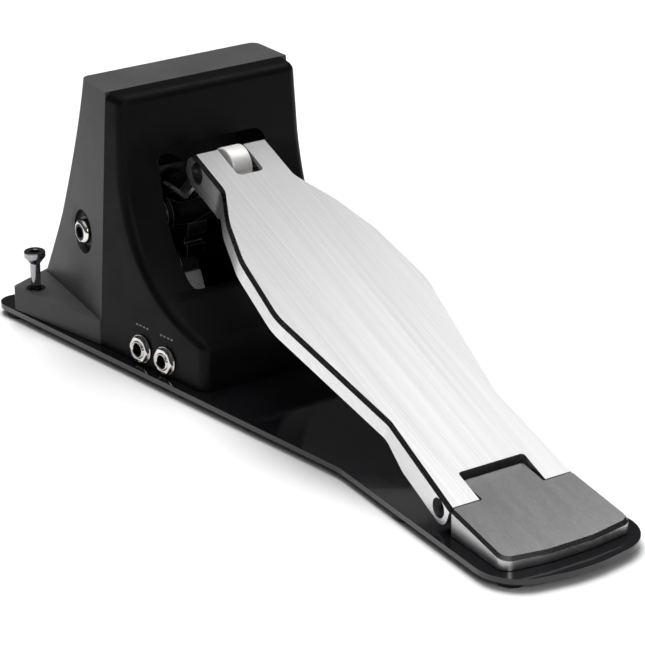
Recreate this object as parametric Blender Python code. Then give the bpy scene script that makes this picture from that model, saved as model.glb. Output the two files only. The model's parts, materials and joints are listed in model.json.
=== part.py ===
"""Kick trigger pedal: footboard, tip roller, sprung rocker with a hammer, and a sensor tower.

The object stands on its rubber feet at z = 0. +Y runs from the player's heel to the tower,
+X is the player's right, and the origin is the middle of the footprint at floor level.
Sizes in the tables below are in millimetres; MM turns them into metres.
"""
import math

import bmesh
import bpy
from mathutils import Matrix, Vector

MM = 0.001
GAP = 0.3                      # clearance between neighbouring pieces
ARC_STEP = math.radians(18)    # turn of one facet on a rounded corner

# ---- base plate and feet
FOOT_HEIGHT = 3.6
FOOT_RADIUS = 8.0
FOOT_PLACES = {"rear": (71.0, 202.5), "middle": (33.0, -118.0), "front": (31.0, -197.0)}
PLATE_BOTTOM = FOOT_HEIGHT + GAP
PLATE_TOP = 6.9
DECK = PLATE_TOP + GAP         # height at which a piece resting on the plate starts
PLATE_OUTLINE = [(8.0, -215.3, 60.0), (46.0, -208.5, 24.0), (39.4, -66.8, 40.0), (82.2, 215.3, 9.0)]

# ---- footboard hinge, slope and tip roller
HINGE = Vector((0.0, -145.6, 17.1))
BOARD_SLOPE = math.radians(20.97)
PRESS = math.radians(8.0)      # stroke of the footboard
BOARD_TOP = 7.42               # top face above the hinge axis, square to the board
BOARD_CHAMFER = (1.6, 2.4)     # width and drop of the band round the top face
BOARD_OUTLINE = [(35.0, -12.0, 0.0), (31.0, 52.0, 15.0), (44.9, 136.0, 42.0), (40.2, 178.5, 60.0),
                 (31.9, 206.5, 60.0), (21.0, 229.5, 16.0), (21.0, 268.0, 0.0)]
BOARD_SIDE = [(-8.2, 7.42, 0.5), (-8.2, -7.0, 6.5), (32.0, -7.0, 10.0), (48.0, -3.1, 10.0),
              (221.0, -3.1, 8.0), (228.0, -9.8, 5.0), (258.0, -10.2, 4.0), (264.2, -6.0, 5.0),
              (264.2, 1.5, 4.0), (260.2, 7.42, 0.5)]
NOTCH_HALF, NOTCH_END = 19.45, 11.0
SLOT_HALF, SLOT_END = 8.0, 238.0
CHEEK_INNER = 15.5             # inner face of the two cheeks under the neck
NECK_SKIN = 3.0                # thickness of the neck's top plate
HEAD_RECESS, HEAD_END = 19.4, 21.9    # the roller pin's heads, from the middle outwards
HINGE_SHAFT_RADIUS = 3.5
BUSH_RADIUS = 4.9

ROLLER = Vector((0.0, 92.5, 107.6))
ROLLER_RADIUS = 10.4
ROLLER_HALF = 6.0
PIN_RADIUS = 3.0

# ---- rocker
AXLE = Vector((0.0, 154.2, 62.2))
ROCKER_RATIO = 3.5             # rocker turn for one unit of footboard turn
SWING = ROCKER_RATIO * PRESS
AXLE_RADIUS = 5.0
HUB_RADIUS, HUB_HALF = 9.8, 9.5
BEARING_RADIUS, BEARING_WIDTH = 7.9, 5.0
ARM_HALF = 6.0
CROSSBAR = Vector((0.0, 174.2, 62.2))
CROSSBAR_RADIUS = 2.5
SPRING_X = 20.0
HAMMER_FRONT, HAMMER_BACK = -1.0, 11.0
HAMMER_TOP, HAMMER_FOOT = -34.5, -46.0
PAD_THICKNESS = 4.2

# ---- tower housing and front cover
SEAM = 127.3                   # plane where the cover meets the housing
WIDTH_AT_SEAM = 63.1           # half the tower's width at the seam and the plate
TOWER_TOP = 148.5
WALL = 3.5
COVER_WALL = 3.0
HOUSING_REAR = [(156.3, 148.5), (166.8, 94.3), (210.0, 19.5)]   # control points, (y, z)
COVER_FRONT = [(113.0, 110.0), (105.3, 45.7), (43.5, 33.3)]     # control points, (y, z)
COVER_TOP = 148.2
COVER_ROUND = 5.0
OPENING_HALF, OPENING_LOW, OPENING_HIGH = 33.0, 46.5, 117.0
EAR_TOP = 20.7
EAR_OUTLINE = [(58.9, 127.6, 0.0), (63.4, 127.6, 1.5), (79.0, 196.2, 2.5), (48.0, 210.2, 2.0)]
ANCHOR = (69.5, 187.3)
HOUSING_SCREWS = [(62.0, 150.0), (58.0, 198.0)]
RECESS_FACE, BOLT_RECESS_RADIUS, BOLT_RECESS_DEPTH = 56.9, 12.0, 4.0
BOSS_RADIUS, BOSS_END = 15.0, 40.0

# ---- heel block
HEEL_TOP = [(13.0, -201.4, 30.0), (36.4, -197.9, 5.0), (35.0, -156.3, 1.0), (18.0, -156.3, 1.0),
            (18.0, -139.6, 1.5)]
HEEL_SHOULDER = [(13.0, -203.0, 30.0), (38.0, -199.5, 5.0), (36.5, -156.3, 1.0), (18.0, -156.3, 1.0),
                 (18.0, -139.6, 1.5)]
HEEL_CHAMFER = 1.7             # drop from the top face to the shoulder
HEEL_TOP_POINT = (-155.9, 21.1)
HEEL_SLOPE = 0.1667

# ---- jacks
JACKS = {"output": (93.4, 15.9), "mix": (73.8, 15.5)}
JACK_BORE = 3.6
JACK_BARREL = 4.8
NUT_ACROSS = 12.7


# ------------------------------------------------------------------ shape helpers
def material(name, colour, roughness, metallic):
    mat = bpy.data.materials.get(name)
    if mat is None:
        mat = bpy.data.materials.new(name)
        mat.use_nodes = True
        shader = mat.node_tree.nodes["Principled BSDF"]
        shader.inputs["Base Color"].default_value = (*colour, 1.0)
        shader.inputs["Roughness"].default_value = roughness
        shader.inputs["Metallic"].default_value = metallic
    return mat


def rounded(corners):
    """A closed outline from (a, b, radius) corners, each rounded by an arc."""
    outline = []
    count = len(corners)
    for i, (a, b, radius) in enumerate(corners):
        here = Vector((a, b))
        back = Vector(corners[i - 1][:2]) - here
        ahead = Vector(corners[(i + 1) % count][:2]) - here
        if radius <= 0.0:
            outline.append(here)
            continue
        back.normalize()
        ahead.normalize()
        half = back.angle(ahead) / 2
        reach = radius / math.tan(half)
        centre = here + (back + ahead).normalized() * (radius / math.sin(half))
        start = here + back * reach - centre
        turn = math.pi - 2 * half
        side = 1.0 if back.x * ahead.y - back.y * ahead.x < 0 else -1.0
        steps = max(1, round(turn / ARC_STEP))
        for k in range(steps + 1):
            angle = side * turn * k / steps
            cos, sin = math.cos(angle), math.sin(angle)
            outline.append(centre + Vector((start.x * cos - start.y * sin,
                                            start.x * sin + start.y * cos)))
    return [(p.x, p.y) for p in outline]


def mirrored(corners):
    """Half an outline, given for a > 0, completed by its mirror image."""
    return corners + [(-a, b, r) for a, b, r in reversed(corners)]


def flipped(corners):
    return [(-a, b, r) for a, b, r in reversed(corners)]


def grown(outline, amount):
    """An outline moved outwards, square to itself."""
    points = [Vector(p) for p in outline]
    count = len(points)
    area = sum(p.x * q.y - q.x * p.y for p, q in zip(points, points[1:] + points[:1]))
    side = 1.0 if area > 0 else -1.0
    result = []
    for i, here in enumerate(points):
        back = (here - points[i - 1]).normalized()
        ahead = (points[(i + 1) % count] - here).normalized()
        outward = Vector((back.y + ahead.y, -back.x - ahead.x)).normalized() * side
        share = outward.dot(Vector((ahead.y, -ahead.x)) * side)
        result.append(tuple(here + outward * amount / share))
    return result


def bezier(control, steps):
    """Points along a quadratic curve with three control points."""
    (a0, b0), (a1, b1), (a2, b2) = control
    points = []
    for k in range(steps + 1):
        t = k / steps
        weights = ((1 - t) ** 2, 2 * t * (1 - t), t * t)
        points.append((weights[0] * a0 + weights[1] * a1 + weights[2] * a2,
                       weights[0] * b0 + weights[1] * b1 + weights[2] * b2))
    return points


def place(axis, a, b, along):
    """Point with outline coordinates a, b at a distance along the extrusion axis."""
    return {"x": (along, a, b), "y": (a, along, b), "z": (a, b, along)}[axis]


def make(name, bm, mat=None):
    bmesh.ops.recalc_face_normals(bm, faces=bm.faces)
    mesh = bpy.data.meshes.new(name)
    bmesh.ops.scale(bm, vec=(MM, MM, MM), verts=bm.verts)
    bm.to_mesh(mesh)
    bm.free()
    obj = bpy.data.objects.new(name, mesh)
    bpy.context.collection.objects.link(obj)
    if mat:
        mesh.materials.append(mat)
    return obj


def prism_bm(axis, outline, low, high):
    bm = bmesh.new()
    ends = []
    for along in (low, high):
        verts = [bm.verts.new(place(axis, a, b, along)) for a, b in outline]
        ends.append(verts)
    count = len(outline)
    for i in range(count):
        j = (i + 1) % count
        bm.faces.new((ends[0][i], ends[0][j], ends[1][j], ends[1][i]))
    bm.faces.new(ends[0][::-1])
    bm.faces.new(ends[1])
    return bm


def prism(name, axis, outline, low, high, mat=None):
    return make(name, prism_bm(axis, outline, low, high), mat)


def loft(name, rings, mat=None):
    """A closed solid through rings with equal numbers of points."""
    bm = bmesh.new()
    levels = [[bm.verts.new(p) for p in ring] for ring in rings]
    count = len(rings[0])
    for lower, upper in zip(levels, levels[1:]):
        for i in range(count):
            j = (i + 1) % count
            bm.faces.new((lower[i], lower[j], upper[j], upper[i]))
    bm.faces.new(levels[0][::-1])
    bm.faces.new(levels[-1])
    return make(name, bm, mat)


def turned(name, profile, centre, direction, mat=None, sides=20):
    """A body turned about an axis from (radius, distance) points; radius 0 closes an end."""
    frame = Vector(direction).normalized().to_track_quat("Z", "Y").to_matrix()
    centre = Vector(centre)
    bm = bmesh.new()
    rings = []
    for radius, along in profile:
        if radius == 0.0:
            rings.append([bm.verts.new(centre + frame @ Vector((0, 0, along)))])
            continue
        ring = []
        for k in range(sides):
            angle = 2 * math.pi * k / sides
            spot = Vector((radius * math.cos(angle), radius * math.sin(angle), along))
            ring.append(bm.verts.new(centre + frame @ spot))
        rings.append(ring)
    closed = profile[0][0] > 0.0
    pairs = list(zip(rings, rings[1:])) + ([(rings[-1], rings[0])] if closed else [])
    for first, second in pairs:
        for k in range(sides):
            j = (k + 1) % sides
            a = first[k % len(first)], first[j % len(first)]
            b = second[j % len(second)], second[k % len(second)]
            corners = list(dict.fromkeys(a + b))
            bm.faces.new(corners)
    return make(name, bm, mat)


def rod(name, radius, start, end, mat=None, sides=24):
    start, end = Vector(start), Vector(end)
    length = (end - start).length
    profile = [(0.0, 0.0), (radius, 0.0), (radius, length), (0.0, length)]
    return turned(name, profile, start, end - start, mat, sides)


def ring(name, inner, outer, start, end, mat=None, sides=20):
    start, end = Vector(start), Vector(end)
    length = (end - start).length
    profile = [(inner, 0.0), (outer, 0.0), (outer, length), (inner, length)]
    return turned(name, profile, start, end - start, mat, sides)


def sweep(name, points, radius, mat=None, sides=6):
    """A round wire along a line of points, with flat ends."""
    points = [Vector(p) for p in points]
    bm = bmesh.new()
    rings = []
    normal = None
    for i, point in enumerate(points):
        ahead = points[min(i + 1, len(points) - 1)] - points[max(i - 1, 0)]
        ahead.normalize()
        if normal is None:
            normal = ahead.orthogonal().normalized()
        normal = (normal - ahead * normal.dot(ahead)).normalized()
        across = ahead.cross(normal)
        rings.append([bm.verts.new(point + radius * (normal * math.cos(2 * math.pi * k / sides)
                                                     + across * math.sin(2 * math.pi * k / sides)))
                      for k in range(sides)])
    for first, second in zip(rings, rings[1:]):
        for k in range(sides):
            j = (k + 1) % sides
            bm.faces.new((first[k], first[j], second[j], second[k]))
    bm.faces.new(rings[0][::-1])
    bm.faces.new(rings[-1])
    return make(name, bm, mat)


def combine(target, tools, operation):
    """Apply Booleans with the tool solids, then remove the tools."""
    for tool in tools:
        mod = target.modifiers.new(operation.title(), "BOOLEAN")
        mod.operation = operation
        mod.solver = "EXACT"
        mod.object = tool
    bpy.context.view_layer.update()
    shaped = target.evaluated_get(bpy.context.evaluated_depsgraph_get())
    mesh = bpy.data.meshes.new_from_object(shaped)
    target.modifiers.clear()
    old = target.data
    target.data = mesh
    mesh.name = old.name
    bpy.data.meshes.remove(old)
    for tool in tools:
        bpy.data.objects.remove(tool)
    return target


def cut(target, *tools):
    return combine(target, tools, "DIFFERENCE")


def join(target, *tools):
    return combine(target, tools, "UNION")


def smooth(obj, angle=32):
    obj.data.shade_smooth()
    obj.data.set_sharp_from_angle(angle=math.radians(angle))
    return obj


def pivoted(obj, pivot):
    """Move an object's origin onto a pivot and keep its shape where it is."""
    offset = Vector(pivot) * MM
    obj.data.transform(Matrix.Translation(-offset))
    obj.location = offset
    return obj


# ------------------------------------------------------------------ materials
BLACK_PLATE = material("gloss_black_steel", (0.012, 0.012, 0.014), 0.12, 0.0)
GREY_CAST = material("grey_cast_metal", (0.085, 0.085, 0.088), 0.42, 0.6)
BLACK_PLASTIC = material("satin_black_plastic", (0.010, 0.010, 0.010), 0.45, 0.0)
BRUSHED = material("brushed_aluminium", (0.72, 0.72, 0.72), 0.32, 1.0)
CHROME = material("chrome", (0.78, 0.77, 0.75), 0.12, 1.0)
STEEL = material("satin_steel", (0.55, 0.54, 0.52), 0.28, 1.0)
DARK_STEEL = material("dark_steel", (0.05, 0.05, 0.055), 0.30, 0.9)
RUBBER = material("black_rubber", (0.015, 0.015, 0.015), 0.80, 0.0)
FOAM = material("grey_foam", (0.10, 0.10, 0.10), 0.95, 0.0)
BRASS = material("brass", (0.60, 0.45, 0.18), 0.30, 1.0)
BOARD_GREEN = material("circuit_board", (0.02, 0.12, 0.05), 0.45, 0.0)


# ------------------------------------------------------------------ base
def screw_from_below(name, x, y, top):
    """Pan-head screw under the plate with its shank reaching up to a height."""
    profile = [(0.0, 1.6), (4.0, 1.6), (4.0, 3.6), (2.0, 3.6), (2.0, top), (0.0, top)]
    return smooth(turned(name, profile, (x, y, 0.0), (0, 0, 1), DARK_STEEL, 12))


def screw_hole(x, y, top):
    return rod("hole", 2.3, (x, y, -1.0), (x, y, top), sides=12)


HEEL_SCREWS = [(23.0, -178.0), (-23.0, -178.0)]
COVER_SCREWS = [(38.0, 51.5), (-38.0, 51.5)]
SENSOR_SCREWS = [(9.0, 189.0), (-9.0, 189.0)]
HEEL_SCREW_TOP, COVER_SCREW_TOP, HOUSING_SCREW_TOP = 13.0, 22.0, 16.0


def build_base():
    plate = prism("base_plate", "z", rounded(mirrored(PLATE_OUTLINE)), PLATE_BOTTOM, PLATE_TOP,
                  BLACK_PLATE)
    holes = []
    for side in (1, -1):
        holes.append(rod("hole", 3.6, (side * ANCHOR[0], ANCHOR[1], 0), (side * ANCHOR[0], ANCHOR[1], 9),
                         sides=16))
        holes += [screw_hole(side * x, y, 9.0) for x, y in HOUSING_SCREWS]
    holes += [screw_hole(x, y, 9.0) for x, y in HEEL_SCREWS + COVER_SCREWS + SENSOR_SCREWS]
    cut(plate, *holes)
    for place_name, (x, y) in FOOT_PLACES.items():
        for side, side_name in ((-1, "left"), (1, "right")):
            profile = [(0.0, 0.0), (FOOT_RADIUS - 0.8, 0.0), (FOOT_RADIUS, 0.8),
                       (FOOT_RADIUS, FOOT_HEIGHT), (0.0, FOOT_HEIGHT)]
            smooth(turned(f"rubber_foot_{place_name}_{side_name}", profile, (side * x, y, 0.0),
                          (0, 0, 1), RUBBER, 20))


def heel_ring(corners, drop):
    """An outline of the heel block at a depth below its sloping top plane."""
    top_y, top_z = HEEL_TOP_POINT
    return [(x, y, top_z + HEEL_SLOPE * (y - top_y) - drop) for x, y in rounded(mirrored(corners))]


def build_heel():
    shoulder = heel_ring(HEEL_SHOULDER, HEEL_CHAMFER)
    block = loft("heel_block", [[(x, y, DECK) for x, y, _ in shoulder], shoulder,
                                heel_ring(HEEL_TOP, 0.0)], BRUSHED)
    hinge_hole = rod("hole", HINGE_SHAFT_RADIUS + 0.25, (-30, HINGE.y, HINGE.z), (30, HINGE.y, HINGE.z))
    cut(block, hinge_hole, *[screw_hole(x, y, HEEL_SCREW_TOP + GAP) for x, y in HEEL_SCREWS])
    smooth(block)
    for (x, y), side in zip(HEEL_SCREWS, ("right", "left")):
        screw_from_below(f"heel_screw_{side}", x, y, HEEL_SCREW_TOP)
    smooth(rod("hinge_shaft", HINGE_SHAFT_RADIUS, (-32.5, HINGE.y, HINGE.z), (32.5, HINGE.y, HINGE.z),
               STEEL))


# ------------------------------------------------------------------ footboard and roller
def build_footboard():
    tilt = Matrix.Rotation(BOARD_SLOPE, 4, "X")
    outline = rounded(mirrored(BOARD_OUTLINE))
    width, drop = BOARD_CHAMFER
    wide = grown(outline, width)
    board = loft("footboard", [[(x, y, -14.0) for x, y in wide], [(x, y, BOARD_TOP - drop) for x, y in wide],
                               [(x, y, BOARD_TOP) for x, y in outline]], BRUSHED)
    side = prism("side", "x", rounded(BOARD_SIDE), -60.0, 60.0)
    combine(board, [side], "INTERSECT")
    local_roller = tilt.inverted() @ (ROLLER - HINGE)
    u, n = local_roller.y, local_roller.z
    channel = prism("channel", "x", [(223.0, -30.0), (300.0, -30.0), (300.0, BOARD_TOP - NECK_SKIN),
                                     (229.0, BOARD_TOP - NECK_SKIN), (223.0, -2.0)],
                    -CHEEK_INNER, CHEEK_INNER)
    tip_gap = prism("tip_gap", "z", [(-CHEEK_INNER, 260.2), (CHEEK_INNER, 260.2), (CHEEK_INNER, 300.0),
                                     (-CHEEK_INNER, 300.0)], -30.0, 30.0)
    slot = prism("slot", "z", rounded([(SLOT_HALF, 300.0, 0.0), (-SLOT_HALF, 300.0, 0.0),
                                       (-SLOT_HALF, SLOT_END, 3.0), (SLOT_HALF, SLOT_END, 3.0)]),
                 -30.0, 30.0)
    notch = prism("notch", "z", rounded([(-NOTCH_HALF, -40.0, 0.0), (NOTCH_HALF, -40.0, 0.0),
                                         (NOTCH_HALF, NOTCH_END, 2.0), (-NOTCH_HALF, NOTCH_END, 2.0)]),
                  -30.0, 30.0)
    bush_hole = rod("hole", BUSH_RADIUS + 0.2, (-60, 0, 0), (60, 0, 0))
    pin_hole = rod("hole", PIN_RADIUS + 0.25, (-60, u, n), (60, u, n))
    head_recess = [rod("hole", 6.3, (side_x, u, n), (side_x * 2, u, n))
                   for side_x in (-HEAD_RECESS, HEAD_RECESS)]
    cut(board, channel, tip_gap, slot, notch, bush_hole, pin_hole, *head_recess)
    board.rotation_euler.x = BOARD_SLOPE
    board.location = HINGE * MM
    smooth(board)
    for side_x, name in ((-1, "left"), (1, "right")):
        bush = ring(f"hinge_bush_{name}", HINGE_SHAFT_RADIUS + 0.15, BUSH_RADIUS,
                    (side_x * 19.9, HINGE.y, HINGE.z), (side_x * 33.6, HINGE.y, HINGE.z), BRASS)
        smooth(pivoted(bush, HINGE))
        spacer = ring(f"roller_spacer_{name}", PIN_RADIUS + 0.2, 4.6,
                      (side_x * (ROLLER_HALF + GAP), ROLLER.y, ROLLER.z),
                      (side_x * (CHEEK_INNER - GAP), ROLLER.y, ROLLER.z), DARK_STEEL)
        smooth(pivoted(spacer, HINGE))
    start, end = HEAD_RECESS + GAP, HEAD_END
    profile = [(0.0, -end + 0.8), (2.0, -end + 0.8), (2.2, -end), (5.6, -end), (6.0, -end + 0.4),
               (6.0, -start), (PIN_RADIUS, -start), (PIN_RADIUS, start), (6.0, start), (6.0, end - 0.4),
               (5.6, end), (2.2, end), (2.0, end - 0.8), (0.0, end - 0.8)]
    smooth(pivoted(turned("roller_pin", profile, ROLLER, (1, 0, 0), STEEL), HINGE))
    edge = 0.8
    profile = [(PIN_RADIUS + 0.2, -ROLLER_HALF), (ROLLER_RADIUS - edge, -ROLLER_HALF),
               (ROLLER_RADIUS, -ROLLER_HALF + edge), (ROLLER_RADIUS, ROLLER_HALF - edge),
               (ROLLER_RADIUS - edge, ROLLER_HALF), (PIN_RADIUS + 0.2, ROLLER_HALF)]
    smooth(pivoted(turned("tip_roller", profile, ROLLER, (1, 0, 0), STEEL, 36), ROLLER))


# ------------------------------------------------------------------ rocker
def rotate_x(vector, angle):
    return Matrix.Rotation(angle, 3, "X") @ vector


def roller_in_rocker(turn):
    """Roller centre, relative to the axle, as the rocker sees it at a footboard turn."""
    world = HINGE + rotate_x(ROLLER - HINGE, -turn)
    return rotate_x(world - AXLE, -ROCKER_RATIO * turn)


def cam_track(steps=10):
    """Top face of the cam arm: the roller's path offset by its radius, then round its last place."""
    path = [roller_in_rocker(PRESS * k / steps) for k in range(-1, steps + 2)]
    track = []
    for before, here, after in zip(path, path[1:], path[2:]):
        along = (after - before).normalized()
        below = Vector((0.0, along.z, -along.y))
        track.append(here + below * (ROLLER_RADIUS + GAP))
    end = path[-2]
    for degrees in (217, 230, 243):
        angle = math.radians(degrees)
        track.append(end + Vector((0.0, math.cos(angle), math.sin(angle))) * (ROLLER_RADIUS + GAP))
    return track


def hammer_point(dy, dz):
    """A point of the hammer, given upright as it strikes, turned back to the rest pose."""
    return AXLE + rotate_x(Vector((0.0, dy, dz)), -SWING)


def hammer_prism(name, corners, half, mat=None):
    points = [hammer_point(dy, dz) for dy, dz in corners]
    return prism(name, "x", [(p.y, p.z) for p in points], -half, half, mat)


def build_rocker():
    track = cam_track()
    tip = track[0] + (track[0] - track[1]).normalized() * 4.0
    outline = [tip + AXLE] + [p + AXLE for p in track]
    outline += [AXLE + Vector((0.0, -16.0, 10.6)), AXLE + Vector((0.0, -2.0, 9.5)),
                AXLE + Vector((0.0, -6.0, -6.0)), AXLE + Vector((0.0, -30.0, 4.0)),
                AXLE + Vector((0.0, -51.6, 18.4)),
                AXLE + Vector((0.0, tip.y + 1.5, tip.z - 7.5))]
    rocker = prism("rocker", "x", [(p.y, p.z) for p in outline], -ARM_HALF, ARM_HALF, DARK_STEEL)
    hub = rod("hub", HUB_RADIUS, AXLE - Vector((HUB_HALF, 0, 0)), AXLE + Vector((HUB_HALF, 0, 0)),
              sides=30)
    hammer_arm = hammer_prism("hammer_arm", [(-2.0, -2.0), (-1.0, HAMMER_TOP + GAP),
                                             (9.0, HAMMER_TOP + GAP), (6.0, -4.0)], 5.0)
    lug = prism("lug", "x", rounded([(AXLE.y, AXLE.z - 5.5, 0.0), (CROSSBAR.y + 4.5, AXLE.z - 4.5, 4.0),
                                     (CROSSBAR.y + 4.5, AXLE.z + 4.5, 4.0), (AXLE.y, AXLE.z + 5.5, 0.0)]),
                -4.7, 4.7)
    boss = prism("boss", "x", rounded([(129.6, 64.0, 1.0), (131.0, 56.0, 0.0), (134.6, 53.5, 2.0),
                                       (134.6, 50.6, 0.0), (131.4, 49.8, 0.6), (131.8, 43.0, 1.0),
                                       (139.0, 41.0, 2.0), (150.0, 55.0, 0.0), (148.0, 66.0, 0.0)]),
                 0.3 - ARM_HALF, ARM_HALF - 0.3)
    join(rocker, hub, hammer_arm, lug, boss)
    seat, shelf, bore = BEARING_RADIUS + GAP, HUB_HALF - BEARING_WIDTH - GAP, AXLE_RADIUS + 0.6
    bearing_bore = turned("bearing_bore", [(0.0, -30.0), (seat, -30.0), (seat, -shelf), (bore, -shelf),
                                           (bore, shelf), (seat, shelf), (seat, 30.0), (0.0, 30.0)],
                          AXLE, (1, 0, 0), None, 24)
    bar_hole = rod("bar_hole", CROSSBAR_RADIUS + 0.2, CROSSBAR - Vector((30, 0, 0)),
                   CROSSBAR + Vector((30, 0, 0)))
    cut(rocker, bearing_bore, bar_hole)
    parts = [rocker]
    for side, name in ((-1, "left"), (1, "right")):
        inner = AXLE + Vector((side * (HUB_HALF - BEARING_WIDTH), 0, 0))
        outer = AXLE + Vector((side * HUB_HALF, 0, 0))
        parts.append(ring(f"rocker_bearing_{name}", AXLE_RADIUS + 0.2, BEARING_RADIUS, inner, outer, STEEL))
    parts.append(rod("spring_crossbar", CROSSBAR_RADIUS, CROSSBAR - Vector((25, 0, 0)),
                     CROSSBAR + Vector((25, 0, 0)), STEEL, 16))
    parts.append(hammer_prism("hammer_weight", [(HAMMER_FRONT, HAMMER_TOP), (HAMMER_FRONT, HAMMER_FOOT),
                                                (HAMMER_BACK, HAMMER_FOOT), (HAMMER_BACK, HAMMER_TOP)],
                              ARM_HALF, CHROME))
    pad_front = HAMMER_BACK + GAP
    parts.append(hammer_prism("beater_pad", [(pad_front, HAMMER_TOP), (pad_front, HAMMER_FOOT),
                                             (pad_front + PAD_THICKNESS, HAMMER_FOOT + 1.0),
                                             (pad_front + PAD_THICKNESS, HAMMER_TOP - 1.0)],
                              ARM_HALF, RUBBER))
    apex, rise, reach, sheet = 73.0, 9.0, 9.8, 1.6
    outline = [(-reach, apex + rise), (-1.0, apex), (1.0, apex), (reach, apex + rise),
               (reach - 2.2, apex + rise + 0.4), (0.0, apex + sheet + 0.6), (-reach + 2.2, apex + rise + 0.4)]
    parts.append(prism("yoke_bracket", "y", outline, 141.0, 150.0, CHROME))
    for part in parts:
        smooth(pivoted(part, AXLE))


def build_springs():
    """Two extension springs from the crossbar down to posts on the plate, and their posts."""
    turns, per_turn, coil, wire = 6, 10, 3.4, 0.65
    low, high = 19.0, CROSSBAR.z - CROSSBAR_RADIUS - 4.0
    for side, name in ((-1, "left"), (1, "right")):
        x, y = side * SPRING_X, CROSSBAR.y
        points = [(x, y, low - 4.0), (x, y, low - 1.5)]
        for k in range(turns * per_turn + 1):
            angle = 2 * math.pi * k / per_turn
            height = low + (high - low) * k / (turns * per_turn)
            points.append((x + coil * math.cos(angle), y + coil * math.sin(angle), height))
        points += [(x, y, high + 1.8), (x, y, high + 4.0 - GAP)]
        smooth(sweep(f"return_spring_{name}", points, wire, STEEL, 4), 60)
        top = low - 4.0 - GAP
        profile = [(0.0, 0.0), (4.5, 0.0), (4.5, 2.5), (2.5, 3.0), (2.5, top - DECK - 1.0),
                   (1.5, top - DECK), (0.0, top - DECK)]
        smooth(turned(f"spring_post_{name}", profile, (x, y, DECK), (0, 0, 1), STEEL, 16))


# ------------------------------------------------------------------ sensor and stops
def build_sensor():
    contact = AXLE.y + HAMMER_BACK + GAP + PAD_THICKNESS
    cushion_front = contact + 0.6
    plate_front = cushion_front + 4.2 + GAP
    flange_front = plate_front + 1.5 + GAP
    flange_back = flange_front + 2.0
    low, high = 12.0, 32.0
    prism("sensor_cushion", "y", rounded([(12, low, 2.0), (12, high, 2.0), (-12, high, 2.0),
                                          (-12, low, 2.0)]), cushion_front, cushion_front + 4.2, FOAM)
    prism("sensor_plate", "y", rounded([(13, low - 1, 2.0), (13, high + 1, 2.0), (-13, high + 1, 2.0),
                                        (-13, low - 1, 2.0)]), plate_front, plate_front + 1.5, BRASS)
    bracket = prism("sensor_bracket", "x", [(flange_front, DECK), (flange_back + 17.0, DECK),
                                            (flange_back + 17.0, DECK + 2.0), (flange_back, DECK + 2.0),
                                            (flange_back, high + 3.0), (flange_front, high + 3.0)],
                    -14.0, 14.0, DARK_STEEL)
    lead_hole = rod("hole", 3.0, (0, flange_front - 1, 24), (0, flange_back + 1, 24), sides=16)
    cut(bracket, lead_hole, *[screw_hole(x, y, 12.0) for x, y in SENSOR_SCREWS])
    for (x, y), side in zip(SENSOR_SCREWS, ("right", "left")):
        profile = [(0.0, 1.6), (3.6, 1.6), (3.6, 3.6), (2.0, 3.6), (2.0, 11.6), (0.0, 11.6)]
        smooth(turned(f"sensor_screw_{side}", profile, (x, y, 0.0), (0, 0, 1), DARK_STEEL, 12))
    route = [(0, flange_back + 1.2, 24), (-4, flange_back + 6, 25), (-16, flange_back + 7, 20),
             (-30, flange_back + 2, 12), (-34, 165, 10), (-34, 140, 10), (-33, 118, 16), (-32, 110, 24.5),
             (-31, 104, 28.5)]
    lead = []
    for k in range(25):
        t = k / 24 * (len(route) - 1)
        i = min(int(t), len(route) - 2)
        before, here, after, beyond = (Vector(route[max(0, min(j, len(route) - 1))])
                                       for j in (i - 1, i, i + 1, i + 2))
        s = t - i
        lead.append(0.5 * (2 * here + (after - before) * s
                           + (2 * before - 5 * here + 4 * after - beyond) * s * s
                           + (3 * here - before - 3 * after + beyond) * s ** 3))
    smooth(sweep("sensor_lead", lead, 1.2, RUBBER, 8), 60)
    bumper_front = 150.0 + GAP
    smooth(rod("rest_stop_bumper", 5.5, (0, bumper_front, 80.5), (0, bumper_front + 5.5, 80.5), RUBBER, 20))
    front = bumper_front + 5.5 + GAP
    prism("rest_stop_bracket", "x", [(front, 75.0), (front + 1.8, 75.0), (front + 1.8, 87.2), (170.5, 87.2),
                                     (170.5, 89.0), (front, 89.0)], -8.0, 8.0, DARK_STEEL)


# ------------------------------------------------------------------ tower
def housing_half_width(y, z, inset=0.0):
    """Half the width of the housing's outer wall; the walls close in towards the back and top."""
    front = WIDTH_AT_SEAM - 0.0512 * (z - PLATE_TOP)
    closing = 0.124 - 0.074 * max(0.0, (z - 62.0) / 87.5)
    return front - closing * (y - SEAM) - inset


def housing_rings(inset, heights, front):
    """Rings of the housing at the given heights, with rounded rear corners."""
    profile = bezier(HOUSING_REAR, 16)
    rings = []
    for z in heights:
        rear = profile[-1][0]
        for (y0, z0), (y1, z1) in zip(profile, profile[1:]):
            if z1 <= z <= z0:
                rear = y0 + (y1 - y0) * (z0 - z) / (z0 - z1)
        if z > profile[0][1]:
            rear = profile[0][0]
        rear -= inset
        half_front = housing_half_width(front, z, inset)
        half_rear = housing_half_width(rear, z, inset)
        corner = max(1.0, 5.0 - inset)
        outline = rounded([(half_front, front, 0.0), (half_rear, rear, corner), (-half_rear, rear, corner),
                           (-half_front, front, 0.0)])
        rings.append([(x, y, z) for x, y in outline])
    return rings


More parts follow.
